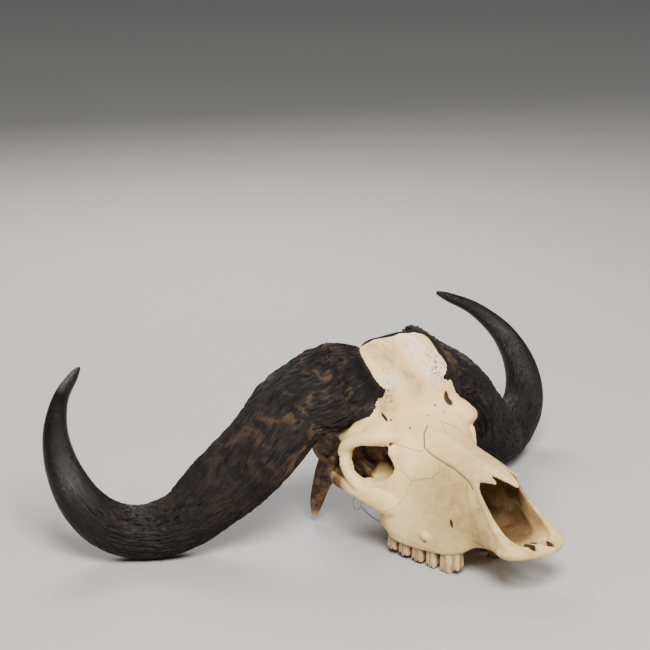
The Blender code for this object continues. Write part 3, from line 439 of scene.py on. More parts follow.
def marked(places, marks):
    """Return how strongly soft round marks cover rows of places."""
    total = np.zeros(len(places))
    for centre, reach, strength in marks:
        apart = np.linalg.norm(places - np.array(centre), axis=1) / reach
        total += strength * np.exp(-apart * apart)
    return np.clip(total, 0, 1)


def baked(obj):
    """Apply the object's modifiers."""
    graph = bpy.context.evaluated_depsgraph_get()
    mesh = bpy.data.meshes.new_from_object(obj.evaluated_get(graph))
    obj.modifiers.clear()
    obj.data = mesh
    return obj


def combine(obj, others, operation, solver='MANIFOLD'):
    """Join the others to the object or cut them from it, in one Boolean, and apply it."""
    group = bpy.data.collections.new("operands")
    bpy.context.scene.collection.children.link(group)
    for other in others:
        group.objects.link(other)
    modifier = obj.modifiers.new(operation.lower(), 'BOOLEAN')
    modifier.operation = operation
    modifier.solver = solver
    modifier.operand_type = 'COLLECTION'
    modifier.collection = group
    if solver == 'EXACT':
        modifier.use_self = operation == 'UNION'
    baked(obj)
    bpy.data.collections.remove(group)
    return obj


def discard(objects):
    """Remove helper objects."""
    for obj in objects:
        bpy.data.objects.remove(obj)


def mirrored(obj, name):
    """Return the object's mirror image across the middle plane."""
    bm = bmesh.new()
    bm.from_mesh(obj.data)
    bmesh.ops.scale(bm, vec=(-1, 1, 1), verts=bm.verts)
    bmesh.ops.reverse_faces(bm, faces=bm.faces)
    mesh = bpy.data.meshes.new(name)
    bm.to_mesh(mesh)
    bm.free()
    return new_object(name, mesh)


def swollen(obj, name, distance):
    """Return a copy of the object with its surface moved out by the distance."""
    copy = new_object(name, obj.data.copy())
    swell = copy.modifiers.new("swell", 'DISPLACE')
    swell.strength = distance
    swell.mid_level = 0.0
    return baked(copy)


def read_points(mesh):
    """Return a mesh's points and their normals as arrays."""
    points = np.empty(len(mesh.vertices) * 3)
    normals = np.empty(len(mesh.vertices) * 3)
    mesh.vertices.foreach_get("co", points)
    mesh.vertices.foreach_get("normal", normals)
    return points.reshape(-1, 3), normals.reshape(-1, 3)


def write_mask(mesh, name, values):
    """Keep one number per point for the materials to read."""
    layer = mesh.attributes.get(name) or mesh.attributes.new(name, 'FLOAT', 'POINT')
    layer.data.foreach_set("value", values.astype(np.float32))


def largest_body(obj):
    """Keep only the connected surface with the most points."""
    mesh = obj.data
    edges = np.empty(len(mesh.edges) * 2, int)
    mesh.edges.foreach_get("vertices", edges)
    edges = edges.reshape(-1, 2)
    label = np.arange(len(mesh.vertices))
    while True:
        before = label.copy()
        low = np.minimum(label[edges[:, 0]], label[edges[:, 1]])
        np.minimum.at(label, edges[:, 0], low)
        np.minimum.at(label, edges[:, 1], low)
        label = label[label[label]]
        if (label == before).all():
            break
    main_label = np.bincount(label).argmax()
    if (label != main_label).any():
        bm = bmesh.new()
        bm.from_mesh(mesh)
        bm.verts.ensure_lookup_table()
        bmesh.ops.delete(bm, geom=[bm.verts[int(i)] for i in np.flatnonzero(label != main_label)], context='VERTS')
        bm.to_mesh(mesh)
        bm.free()
    return obj


def finish_piece(piece, material, slot, *nodes, sharp=40):
    """Shade a piece, paint it, and put it on the frame in place of the nodes it stands for."""
    piece.data.materials.clear()
    piece.data.materials.append(material)
    piece.data.shade_smooth()
    piece.data.set_sharp_from_angle(angle=math.radians(sharp))
    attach(piece, "root")
    if nodes:
        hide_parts(*nodes)


def bone_masses():
    """Make the closed shapes that fuse into the bone, for both sides."""
    masses = [section_loft("face", FACE), section_loft("braincase", BRAINCASE)]
    right = [
        orbit_loft("orbit rim", ORBIT_RIM, [(out, scale, 0) for out, scale in RIM_DEPTHS]),
        tube("brow", ((-.060, .022, .176), (-.076, .019, .177), (-.088, .010, .1765), (-.098, -.006, .173),
                      (-.106, -.024, .167), (-.112, -.038, .155), (-.1135, -.042, .140), (-.112, -.036, .124),
                      (-.108, -.026, .108), (-.104, -.016, .096)),
             (.008, .0095, .0110, .0120, .0115, .0095, .0075, .0080, .0085, .0070)),
        ellipsoid("brow shelf", (-.076, -.002, .186), (.027, .025, .0150), (0, -28, 27)),
        tube("cheek arch", ((-.066, .050, .078), (-.082, .028, .079), (-.092, .006, .084), (-.103, -.018, .091),
                            (-.112, -.040, .098), (-.112, -.060, .100), (-.100, -.086, .106), (-.080, -.104, .112)),
             (.012, .0185, .0155, .0120, .0100, .0095, .0105, .016), flat=0.55),
        ellipsoid("cheek swelling", (-.0620, .087, .045), (.0110, .0150, .0100), (12, 0, 0)),
        ellipsoid("last molar swelling", (-.057, .006, .052), (.018, .024, .030)),
        tube("hinge plate", ((-.062, -.078, .098), (-.078, -.084, .093), (-.094, -.084, .096)), (.013, .012, .009)),
        tube("process beside the condyle", ((-.060, -.138, .094), (-.068, -.150, .060), (-.073, -.158, .026),
                                            (-.0745, -.161, .0045)), (.021, .0150, .0105, .0045), flat=0.6),
        ellipsoid("condyle", (-.030, -.170, .088), (.019, .016, .024), (20, 0, 20)),
        ellipsoid("ear bulla", (-.045, -.098, .0690), (.014, .022, .0195)),
        tube("wing of the palate", ((-.030, .030, .056), (-.030, .000, .060), (-.027, -.030, .062),
                                    (-.024, -.056, .070)), (.020, .022, .021, .014), flat=0.24),
        tube("arm of the snout", ((-.0470, .238, .0660), (-.0435, .217, .0795), (-.0385, .190, .0990),
                                  (-.0355, .173, .1155), (-.0345, .160, .1310)),
             (.0058, .0062, .0060, .0055, .0055)),
        ellipsoid("snout corner", (-.049, .240, .0595), (.0095, .016, .0085), (0, 0, 20)),
    ]
    masses.append(tube("base of the skull", ((0, .010, .090), (0, -.040, .084), (0, -.100, .080), (0, -.160, .084)),
                       (.020, .018, .018, .020)))
    masses.append(tube("nose floor", ((0, .262, .0570), (0, .235, .0560), (0, .200, .0540), (0, .170, .0530)),
                       (.0045, .0050, .0055, .0060), flat=1.6))
    masses.append(tube("nape crest", ((-.078, -.136, .176), (-.060, -.146, .208), (0, -.154, .226), (.060, -.146, .208),
                                      (.078, -.136, .176)), (.009, .010, .010, .010, .009)))
    for mass in right:
        masses += [mass, mirrored(mass, mass.name + " left")]
    return masses


def nasal_ring(forward, inner, outer, ridge, droop=12.5, thick=.0046):
    """Return one cross-section of a nasal plate, bent down towards its outer edge."""
    sides = np.linspace(inner, outer, 9)
    upper = [at(-side, forward, ridge - droop * side * side) for side in sides]
    return upper + [point - Vector((0, 0, thick)) for point in upper[::-1]]


def nasal_plates():
    """Make the free front ends of the nasal bones, forked at their tips."""
    middle_prong = ((.1450, .0000, .0360, .1575), (.1560, .0000, .0345, .1560), (.1660, .0000, .0160, .1543),
                    (.1800, .0000, .0125, .1510), (.1950, .0000, .0080, .1462), (.2095, .0004, .0028, .1410))
    outer_prong = ((.1560, .0140, .0345, .1560), (.1660, .0165, .0305, .1543), (.1760, .0180, .0262, .1520),
                   (.1870, .0200, .0215, .1488))
    plates = [loft("nasal prong", [nasal_ring(*row) for row in rows]) for rows in (middle_prong, outer_prong)]
    return plates + [mirrored(p, p.name + " left") for p in plates]


def bone_hollows():
    """Make the cutters of the openings, for both sides."""
    cutters = [
        ellipsoid("palate vault", (0, .060, .028), (.034, .098, .016)),
        ellipsoid("palate vault front", (0, .170, .040), (.030, .060, .0105)),
        ellipsoid("inner nostrils", (0, -.022, .052), (.0225, .048, .026)),
        ellipsoid("foramen magnum", (0, -.168, .114), (.0165, .032, .0165), (-12, 0, 0)),
        ellipsoid("occiput hollow", (0, -.188, .180), (.044, .026, .036)),
    ]
    right = [
        orbit_loft("eye socket", ORBIT_HOLE, ORBIT_DEPTHS),
        ellipsoid("temple hollow", (-.101, -.068, .134), (.031, .033, .026)),
        ellipsoid("temple hollow low", (-.088, -.050, .116), (.018, .034, .024)),
        ellipsoid("snout slot", (-.0165, .236, .056), (.0062, .0190, .016), (0, 0, -18)),
        ellipsoid("ear opening", (-.088, -.122, .112), (.020, .007, .007)),
    ]
    for cutter in right:
        cutters += [cutter, mirrored(cutter, cutter.name + " left")]
    return cutters


def suture_depth(places):
    """Return how near rows of places are to a suture, from 0 to its darkness."""
    depth = np.zeros(len(places))
    outside = smooth_step(.026, .032, np.abs(places[:, 0]))
    for _, outline, _, _, dark in BONES:
        apart = distance_to_outline(places[:, 1:], wavy(outline))
        depth = np.maximum(depth, dark * outside * np.exp(-(apart / .0008) ** 2))
    on_top = smooth_step(-.018, -.010, places[:, 2] - (.176 - .25 * (places[:, 1] - .05)) + .35 * np.abs(places[:, 0]))
    plan = np.column_stack((np.abs(places[:, 0]), places[:, 1]))
    apart = distance_to_outline(plan, NASAL_PLAN[1:8], closed=False)
    depth = np.maximum(depth, NASAL_DARK * on_top * np.exp(-(apart / .0009) ** 2))
    faint = distance_to_outline(plan, (NASAL_PLAN[1], NASAL_PLAN[0], (0, .20)), closed=False)
    return np.maximum(depth, .35 * on_top * np.exp(-(faint / .0008) ** 2))


def hole_shade(places):
    """Return painted shade: 1 inside the nerve holes and 0 on the bone round them."""
    shade = np.zeros(len(places))
    for centre, radii, turn in NERVE_HOLES:
        spin = Matrix.Rotation(math.radians(turn[2]), 3, 'Z') @ Matrix.Rotation(math.radians(turn[1]), 3, 'Y')
        spin = spin @ Matrix.Rotation(math.radians(turn[0]), 3, 'X')
        local = (places - np.array(centre)) * (1, -1, 1) @ np.array(spin) / np.array(radii)
        shade = np.maximum(shade, smooth_step(1.30, 1.05, np.linalg.norm(local, axis=1)))
    return shade


def soften(body):
    """Smooth the bone where its masses run into each other."""
    places = skull_places(read_points(body.data)[0])
    weights = marked(np.abs(places * (1, 0, 0)) + places * (0, 1, 1), SOFT_MARKS)
    group = body.vertex_groups.new(name="soft")
    for index in np.flatnonzero(weights > .04):
        group.add([int(index)], float(weights[index]), 'REPLACE')
    ease = body.modifiers.new("ease", 'SMOOTH')
    ease.vertex_group = group.name
    ease.factor = 0.5
    ease.iterations = SOFT_ROUNDS
    baked(body)


def hollow_shade(places):
    """Return painted shade, from 0 to 1, by how deep rows of places lie inside the nose and inside the orbits, with
    painted light taking some off where light falls on their inner walls.
    """
    side, forward, up = np.abs(places[:, 0]), places[:, 1], places[:, 2]
    wide = np.interp(forward, (.070, .090, .125, .160, .205, .238, .256), (.010, .040, .050, .045, .041, .034, .020))
    wide -= .4 * np.maximum(0, up - .085)
    roof = np.interp(forward, (.070, .150, .160, .173, .190, .217, .238), (.110, .112, .112, .104, .091, .071, .056))
    nose = smooth_step(.004, -.001, side - wide) * smooth_step(.009, -.007, up - roof)
    nose *= smooth_step(.050, .056, up) * smooth_step(.06, .08, forward) * smooth_step(.250, .195, forward)
    # Painted light: less shade on the upper inner wall of the left side, where light falls
    nose *= 1 - .8 * smooth_step(.018, .028, places[:, 0]) * smooth_step(-.024, -.010, up - roof)
    # Painted shade deep inside each orbit, with painted light taking most of it off the lower front of its inner wall,
    # where light falls
    turn = math.radians(ORBIT_TURN)
    out = (side - ORBIT[0]) * math.cos(turn) + (forward - ORBIT[1]) * math.sin(turn)
    back = (side - ORBIT[0]) * math.sin(turn) - (forward - ORBIT[1]) * math.cos(turn)
    rise = up - ORBIT[2]
    lit = smooth_step(-.010, -.020, rise) * smooth_step(.016, .004, back)
    orbit = smooth_step(1.2, 1.0, np.hypot(back / .046, rise / .036)) * smooth_step(-.010, -.024, out)
    orbit *= smooth_step(-.095, -.080, out) * (1 - .85 * lit)
    return nose, orbit


def weather(obj):
    """Give the fused bone its fine relief: slow lumps, grain, chalky crust, pits and grooves."""
    points, normals = read_points(obj.data)
    places = skull_places(points)
    chalk = marked(places, CHALK_MARKS)
    pits = marked(places, PIT_MARKS)
    tan = marked(places, TAN_MARKS)
    lumps = .00045 * clouds(points, .021, 2)
    grain = .00011 * clouds(points, .0032, 2, 5.0) * (1 + 2.0 * tan + 3.5 * chalk)
    crust = chalk * (.0020 * clouds(points, .0150, 2, 41.0) + .0017 * clouds(points, .0065, 4, 9.0))
    holes = -.0026 * pits * smooth_step(.06, .36, clouds(points * (1, 1, .55), .0030, 2, 17.0))
    teeth_edge = smooth_step(.040, .022, places[:, 2]) * smooth_step(-.01, .0, places[:, 1])
    grooves = -.0010 * suture_depth(places)
    back = smooth_step(-.130, -.155, places[:, 1]) * smooth_step(.128, .150, places[:, 2])
    nape = .0040 * np.exp(-(places[:, 0] / .0065) ** 2) * smooth_step(.232, .214, places[:, 2])
    grooves += back * (nape + .0016 * clouds(points, .017, 4, 61.0) + .0006 * clouds(points, .0045, 3, 67.0))
    relief = lumps + grain + crust + holes + grooves + .0006 * teeth_edge * clouds(points, .006, 3, 23.0)
    obj.data.vertices.foreach_set("co", (points + normals * relief[:, None]).ravel())
    obj.data.update()


def bone_masks(mesh):
    """Keep the marks that the bone's material paints: tan stain, dark stain mixed with painted shade, painted shade
    inside the nose, chalk, and dark sutures with painted shade in pits and nerve holes.
    """
    points, _ = read_points(mesh)
    places = skull_places(points)
    pits = marked(places, PIT_MARKS)
    # Painted shade in the pits that the weathering dents into the bone
    pit_shade = pits * smooth_step(.08, .38, clouds(points * (1, 1, .55), .0030, 2, 17.0))
    write_mask(mesh, "tan", marked(places, TAN_MARKS))
    nose, orbit = hollow_shade(places)
    # Dark stain and painted shade from the marks, with painted shade deep in the orbits; left out inside the nose,
    # which gets its own painted shade
    write_mask(mesh, "dark_stain_and_shade", np.maximum(marked(places, DARK_STAIN_AND_SHADE_MARKS), orbit) * (1 - nose))
    # Painted shade inside the nose
    write_mask(mesh, "hollow", nose)
    write_mask(mesh, "chalk", marked(places, CHALK_MARKS))
    # Dark suture lines, with painted shade in the pits and nerve holes
    write_mask(mesh, "crease", np.clip(suture_depth(places) + pit_shade + hole_shade(places), 0, 1))


def fused_bone(voxel):
    """Fuse the masses, open the hollows and weather the surface."""
    masses = bone_masses()
    body = masses[0]
    combine(body, masses[1:], 'UNION', 'EXACT')
    discard(masses[1:])
    nose = section_loft("nose hollow", NOSE_HOLLOW)
    combine(body, [nose], 'DIFFERENCE', 'EXACT')
    plates = nasal_plates()
    combine(body, plates, 'UNION', 'EXACT')
    cutters = bone_hollows()
    combine(body, cutters, 'DIFFERENCE', 'EXACT')
    discard([nose] + plates + cutters)
    remesh = body.modifiers.new("fuse", 'REMESH')
    remesh.mode = 'VOXEL'
    remesh.voxel_size = voxel
    relax = body.modifiers.new("relax", 'SMOOTH')
    relax.factor = 0.5
    relax.iterations = 9
    baked(body)
    largest_body(body)
    soften(body)
    weather(body)
    holes = [ellipsoid("nerve hole", centre, radii, turn, 14) for centre, radii, turn in NERVE_HOLES]
    combine(body, holes, 'DIFFERENCE')
    discard(holes)
    return body


def side_view(forward, up, depth):
    """View of an outline drawn on the right side, cut in along the side axis."""
    return at(-depth, forward, up)


def plan_view(side, forward, depth):
    """View of an outline drawn from above; the depth follows the slope of the nose."""
    return at(-side, forward, depth - 0.25 * (forward - 0.05))


def cut_pair(body, name, right, around):
    """Part a bone and its twin from the body, and clear the room round them."""
    pieces = []
    for cutter, side in ((right, "_right"), (mirrored(right, "inside left"), "_left")):
        piece = new_object(name + side + "_bone", body.data.copy())
        combine(piece, [cutter], 'INTERSECT')
        pieces.append(largest_body(piece))
        discard([cutter])
    combine(body, around, 'DIFFERENCE')
    discard(around)
    return pieces


def parted_bones(body):
    """Part the face bones of both sides from the fused bone; the body keeps the cranium."""
    right = [(max(side, JOINT_GAP / 2), forward) for side, forward in NASAL_PLAN]
    both = NASAL_PLAN + tuple((-side, forward) for side, forward in NASAL_PLAN[-2:0:-1])
    inside = prism("inside", right, plan_view, NASAL_LOW, NASAL_HIGH)
    around = prism("around", grown(both, JOINT_GAP), plan_view, NASAL_LOW - JOINT_GAP, NASAL_HIGH)
    pieces = cut_pair(body, "nasal", inside, [around])
    for name, outline, low, high, _ in BONES:
        line = wavy(outline)
        inside = prism("inside", line, side_view, low, high)
        wider = grown(line, JOINT_GAP)
        if low < JOINT_GAP:
            around = [prism("around", wider, side_view, -high, high)]
        else:
            near = prism("around", wider, side_view, low - JOINT_GAP, high + JOINT_GAP)
            around = [near, mirrored(near, "around left")]
        pieces += cut_pair(body, name, inside, around)
    return pieces


def horn_grid(spans, sides):
    """Return the horn's surface as rows of (point, outward, length along it, angle round it)."""
    line = [Vector(p) for p in spline([at(-side, forward, up) for (side, forward, up), *_ in HORN], spans)]
    sizes = spline([row[1:] for row in HORN], spans)
    side, forward, up = BOSS_ACROSS
    boss_across = Vector((-side, -forward, up)).normalized()
    across = boss_across
    rows = []
    run = 0.0
    for i, centre in enumerate(line):
        run += (centre - line[max(i - 1, 0)]).length
        ahead = (line[min(i + 1, len(line) - 1)] - line[max(i - 1, 0)]).normalized()
        across = (across - across.dot(ahead) * ahead).normalized()
        share = min(1.0, i / (len(line) - 1) / BOSS_SHARE)
        width = boss_across.lerp(across, share).normalized()
        thick = ahead.cross(width).normalized()
        wide, deep, twist = (float(size) for size in sizes[i])
        turn = math.radians(twist)
        width, thick = (math.cos(turn) * width + math.sin(turn) * thick,
                        math.cos(turn) * thick - math.sin(turn) * width)
        row = []
        for k in range(sides):
            angle = 2 * math.pi * k / sides
            out = math.cos(angle) * width / wide + math.sin(angle) * thick / deep
            point = centre + math.cos(angle) * wide * width + math.sin(angle) * deep * thick
            row.append((point, out.normalized(), run, angle))
        rows.append(row)
    return rows


def plain_horn(name, spans=6, sides=48):
    """Make the horn without its relief, to cut its bed in the bone."""
    return loft(name, [[point for point, *_ in row] for row in horn_grid(spans, sides)])


def detailed_horn(name, ridge, seed, left):
    """Make a horn with a barky boss, fibrous middle and smooth tip."""
    rows = horn_grid(18, 224)
    flat = [entry for row in rows for entry in row]
    run = np.array([entry[2] for entry in flat])
    angle = np.array([entry[3] for entry in flat])
    whole = run.max()
    share = run / whole
    turned = angle + .35 * np.sin(run * 9) + .5 * share
    fibre = np.column_stack((run * 26, np.cos(turned) * 13, np.sin(turned) * 13)) + seed
    strand = np.column_stack((run * 60, np.cos(turned) * 30, np.sin(turned) * 30)) + seed
    bark = np.column_stack((run * 70, np.cos(angle) * 7.0, np.sin(angle) * 7.0)) + seed
    boss = smooth_step(.40, .12, share)
    body = smooth_step(.80, .50, share)
    near_bone = smooth_step(.045, .012, share)
    strands = 1 - 2 * np.abs(clouds(fibre, 1.0, 2))
    fine = 1 - 2 * np.abs(clouds(strand, 1.0, 2, 31.0))
    crust = clouds(bark, 1.0, 4, 13.0)
    lumps = clouds(np.column_stack((run * 18, np.cos(angle) * 2.2, np.sin(angle) * 2.2)) + seed, 1.0, 2)
    relief = ridge * (body * (.60 * strands + .40 * fine) * (1 - .6 * near_bone) + boss * .90 * crust)
    relief += .0026 * lumps * smooth_step(.72, .40, share) + .00006 * fine
    relief += .0015 * (1 - np.cos(angle)) * smooth_step(.20, .04, share) - .0011 * body * smooth_step(.04, .20, share)
    relief *= np.minimum(1.0, (1 - share) * 14) * (1 - .45 * near_bone)
    relief += FRONT_FOOT * np.exp(-((angle - math.pi) / .70) ** 2 - ((share - .045) / .034) ** 2)
    points = np.array([tuple(entry[0]) for entry in flat]) + relief[:, None] * np.array([tuple(e[1]) for e in flat])
    points[:, 2] = np.maximum(points[:, 2], .0003)
    sides = len(rows[0])
    rings = points.reshape(-1, sides, 3)
    horn = loft(name, [[Vector(p) for p in ring] for ring in rings])
    write_mask(horn.data, "run", share)
    write_mask(horn.data, "relief", np.clip(.5 + .5 * (body * strands * .6 + boss * crust), 0, 1))
    write_mask(horn.data, "edge", near_bone)
    layer = horn.data.attributes.new("fibre", 'FLOAT_VECTOR', 'POINT')
    layer.data.foreach_set("vector", fibre.astype(np.float32).ravel())
    if not left:
        return horn
    horn.name = "unmirrored horn"
    twin = mirrored(horn, name)
    discard([horn])
    return twin


def tooth_row(name, left):
    """Make six cheek teeth with ribbed walls, pointed outer cusps and dark crescents inside."""
    bm = bmesh.new()
    dark = bm.verts.layers.float.new("crescent_stain_and_gap_shade")
    along = 0.0
    row = spline(TOOTH_ROW, 20)
    total = sum(tooth[0] for tooth in TEETH)
    sides = 40
    for number, (length, width, cusp) in enumerate(TEETH):
        middle = (along + length / 2) / total * (len(row) - 1)
        low = row[int(middle)]
        side, forward = low + (row[min(int(middle) + 1, len(row) - 1)] - low) * (middle % 1)
        levels = [(TOOTH_ROOT_UP, .78), (.0300, .86), (.0200, .93), (.0120, .985), (cusp + .0085, 1.0), (cusp + .0045, .985),
                  (cusp + .0030, .93), (cusp + .0062, .80), (cusp + .0080, .60), (cusp + .0066, .42), (cusp + .0050, .26),
                  (cusp + .0095, .12)]
        rings = []
        for level, (up, scale) in enumerate(levels):
            ring = []
            for k in range(sides):
                angle = 2 * math.pi * k / sides
                across, ahead = math.sin(angle), math.cos(angle)
                square = (abs(across) ** 4 + abs(ahead) ** 4) ** .25
                waist = 1 - .16 * math.exp(-(ahead / .16) ** 2)
                ribs = 1 + .05 * math.cos(3 * math.pi * ahead) * max(0, across)
                a = length * .5 * .89 * scale * ahead / square
                b = width * .5 * scale * across / square * waist * ribs
                biting = smooth_step(.016, .006, up - cusp)
                peak = abs(math.sin(2 * math.pi * (ahead / square * .5 + .25)))
                drop = float(biting) * (.0062 * max(0.0, across) ** .6 * (.20 + .80 * peak) - .0014)
                wear = .0022 * noise.noise((number * 3.1 + ahead * 2.2, across * 2.2, 4.0 + left)) * float(biting)
                where = at(-side - b, forward + a, up - drop + wear)
                where.z = max(where.z, .0002)
                vert = bm.verts.new(where)
                vert[dark] = (0, 0, 0, 0, .05, .0, .0, .75, .2, .95, .6, 1.0)[level]
                # Dark at the front and back ends of each tooth is painted shade between the teeth; the streak down the
                # middle of the outer wall is brown stain
                if level in (2, 3, 4, 5):
                    vert[dark] = max(vert[dark], .9 * math.exp(-((abs(ahead) - .98) / .05) ** 2),
                                     .75 * math.exp(-(ahead / .09) ** 2) * (across > 0))
                ring.append(vert)
            rings.append(ring)
        for upper, lower in zip(rings, rings[1:]):
            for k in range(sides):
                bm.faces.new((upper[k], upper[(k + 1) % sides], lower[(k + 1) % sides], lower[k]))
        bm.faces.new(rings[0])
        bm.faces.new(reversed(rings[-1]))
        along += length
    if left:
        bmesh.ops.scale(bm, vec=(-1, 1, 1), verts=bm.verts)
    return mesh_from(name, bm)


def wire_ring(name):
    """Bend a round steel ring out of wire."""
    facing = Vector((-0.62, -0.78, 0.0)).normalized()
    level = facing.cross(Vector((0, 0, 1))).normalized()
    rings = []
    for i in range(64):
        angle = 2 * math.pi * i / 64
        out = math.cos(angle) * level * RING_WIDE + math.sin(angle) * Vector((0, 0, RING_HIGH))
        spread = out.normalized()
        rings.append([at(*RING) + out + RING_WIRE * (math.cos(t) * spread + math.sin(t) * facing)
                      for t in np.linspace(0, 2 * math.pi, 12, endpoint=False)])
    return loft(name, rings, closed=True)


def twisted_wire(name, turns=17, strand=.00078, lay=.00078):
    """Twist two strands of wire round each other along the tie's line."""
    line = [Vector(p) for p in spline([at(*p) for p in TIE_WIRE], 48)]
    strands = []
    for start in (0, math.pi):
        rings = []
        for i, centre in enumerate(line):
            ahead = (line[min(i + 1, len(line) - 1)] - line[max(i - 1, 0)]).normalized()
            across = ahead.cross(Vector((0, 0, 1))).normalized()
            upward = across.cross(ahead)
            twist = start + 2 * math.pi * turns * i / (len(line) - 1)
            middle = centre + lay * (math.cos(twist) * across + math.sin(twist) * upward)
            rings.append([middle + strand * (math.cos(t) * across + math.sin(t) * upward)
                          for t in np.linspace(0, 2 * math.pi, 8, endpoint=False)])
        strands.append(loft(name, rings))
    first, second = strands
    bm = bmesh.new()
    bm.from_mesh(first.data)
    bm.from_mesh(second.data)
    discard(strands)
    return mesh_from(name, bm)


class Paint:
    """A Principled material and short ways to add and join its nodes."""

    def __init__(self, name, roughness=.5, metallic=0.0, specular=.5):
        self.material = bpy.data.materials.new(name)
        self.material.use_nodes = True
        self.tree = self.material.node_tree
        self.shader = self.tree.nodes["Principled BSDF"]
        self.shader.inputs["Roughness"].default_value = roughness
        self.shader.inputs["Metallic"].default_value = metallic
        self.shader.inputs["Specular IOR Level"].default_value = specular

    def node(self, kind, **inputs):
        """Add a node; values set its sockets and sockets are linked to them."""
        node = self.tree.nodes.new(kind)
        for name, value in inputs.items():
            socket = node.inputs[name.replace("_", " ")]
            if isinstance(value, bpy.types.NodeSocket):
                self.tree.links.new(value, socket)
            else:
                socket.default_value = value
        return node

    def mask(self, name):
        """Read a mask that the mesh carries."""
        node = self.tree.nodes.new("ShaderNodeAttribute")
        node.attribute_name = name
        return node

    def place(self, stretch=(1, 1, 1)):
        """Return the place on the object, stretched."""
        coordinates = self.tree.nodes.new("ShaderNodeTexCoord")
        return self.node("ShaderNodeMapping", Vector=coordinates.outputs["Object"], Scale=stretch).outputs[0]

    def clouds(self, vector, scale, detail=4.0, rough=.55, distortion=0.0):
        """Return a noise value."""
        return self.node("ShaderNodeTexNoise", Vector=vector, Scale=scale, Detail=detail, Roughness=rough,
                         Distortion=distortion).outputs["Fac"]

    def span(self, value, low, high, to_low=0.0, to_high=1.0):
        """Map a value from one range to another, clamped."""
        node = self.node("ShaderNodeMapRange", Value=value)
        node.inputs["From Min"].default_value = low
        node.inputs["From Max"].default_value = high
        node.inputs["To Min"].default_value = to_low
        node.inputs["To Max"].default_value = to_high
        return node.outputs[0]

    def times(self, first, second, operation='MULTIPLY'):
        """Combine two values."""
        node = self.tree.nodes.new("ShaderNodeMath")
        node.operation = operation
        node.use_clamp = True
        for socket, value in zip(node.inputs, (first, second)):
            if isinstance(value, bpy.types.NodeSocket):
                self.tree.links.new(value, socket)
            else:
                socket.default_value = value
        return node.outputs[0]

    def blend(self, share, first, second):
        """Mix two colours."""
        node = self.tree.nodes.new("ShaderNodeMix")
        node.data_type = 'RGBA'
        for socket, value in ((node.inputs[0], share), (node.inputs[6], first), (node.inputs[7], second)):
            if isinstance(value, bpy.types.NodeSocket):
                self.tree.links.new(value, socket)
            elif isinstance(value, float):
                socket.default_value = value
            else:
                socket.default_value = (*value, 1)
        return node.outputs[2]

    def bump(self, height, depth, strength=1.0, under=None):
        """Raise the surface by a height value, over another bump if given."""
        node = self.node("ShaderNodeBump", Height=height, Distance=depth, Strength=strength)
        if under is not None:
            self.tree.links.new(under, node.inputs["Normal"])
        return node.outputs[0]

    def set(self, name, value):
        """Link a value to the shader."""
        self.tree.links.new(value, self.shader.inputs[name])


def bone_paint(settings):
    """Bleached ivory bone with tan stains, brown stain and painted shade under the horns, at the back and in the
    orbits, painted shade inside the nose, chalky crust, dark sutures and painted shade in pits and nerve holes.
    """
    paint = Paint("bone", roughness=.5, specular=.35)
    place = paint.place()
    ivory = paint.blend(paint.span(paint.clouds(place, 16, 3), .35, .65), settings.ivory, settings.cream)
    mottled = paint.span(paint.clouds(place, 62, 5, .6), .52, .72, 0, .30)
    colour = paint.blend(mottled, ivory, settings.tan)
    streaks = paint.clouds(paint.place((1, .55, 1)), 85, 6, .62)
    tan = paint.times(paint.mask("tan").outputs["Fac"], paint.span(streaks, .25, .62, .35, 1.0))
    colour = paint.blend(paint.times(tan, .85), colour, settings.tan)
    colour = paint.blend(paint.times(tan, paint.span(streaks, .50, .70, 0, .42)), colour, settings.umber)
    chalk = paint.times(paint.mask("chalk").outputs["Fac"], paint.span(paint.clouds(place, 95, 4), .30, .60, .3, 1.0))
    colour = paint.blend(paint.times(chalk, .85), colour, settings.chalk)
    # Dark stain mixed with painted shade: rust brown first, then the darkest colour in patches
    dark_stain_and_shade = paint.times(paint.mask("dark_stain_and_shade").outputs["Fac"], paint.span(paint.clouds(place, 55, 5, .65), .25, .60, .55, 1.0))
    colour = paint.blend(paint.times(dark_stain_and_shade, .97), colour, settings.rust)
    colour = paint.blend(paint.times(dark_stain_and_shade, paint.span(paint.clouds(place, 120, 4), .35, .60, .55, 1.0)), colour,
                         settings.dark_stain_and_shade)
    # Painted shade inside the nose, in dark red-brown
    hollow = paint.times(paint.mask("hollow").outputs["Fac"], paint.span(paint.clouds(place, 34, 3), .25, .70, .86, 1.0))
    colour = paint.blend(hollow, colour, settings.hollow)
    cracks = paint.node("ShaderNodeTexVoronoi", Vector=paint.place((1, 1, .5)), Scale=150.0)
    cracks.feature = 'DISTANCE_TO_EDGE'
    crack = paint.times(paint.span(cracks.outputs["Distance"], .0, .05, 1, 0), paint.times(chalk, .30))
    colour = paint.blend(crack, colour, settings.umber)
    specks = paint.node("ShaderNodeTexVoronoi", Vector=place, Scale=260.0)
    speck = paint.times(paint.span(specks.outputs["Distance"], .10, .20, 1, 0),
                        paint.span(paint.clouds(place, 24, 2), .56, .66, 0, .45))
    colour = paint.blend(speck, colour, settings.umber)
    # Dark suture lines, and painted shade in the pits and nerve holes
    colour = paint.blend(paint.times(paint.mask("crease").outputs["Fac"], .93), colour, settings.crease)
    paint.set("Base Color", colour)
    paint.set("Roughness", paint.span(paint.clouds(place, 130, 4), .3, .7, .42, .66))
    pores = paint.bump(paint.clouds(place, 900, 6, .7), .0005, .30)
    paint.set("Normal", paint.bump(paint.clouds(place, 260, 4, .6), .0012, .28, pores))
    return paint.material


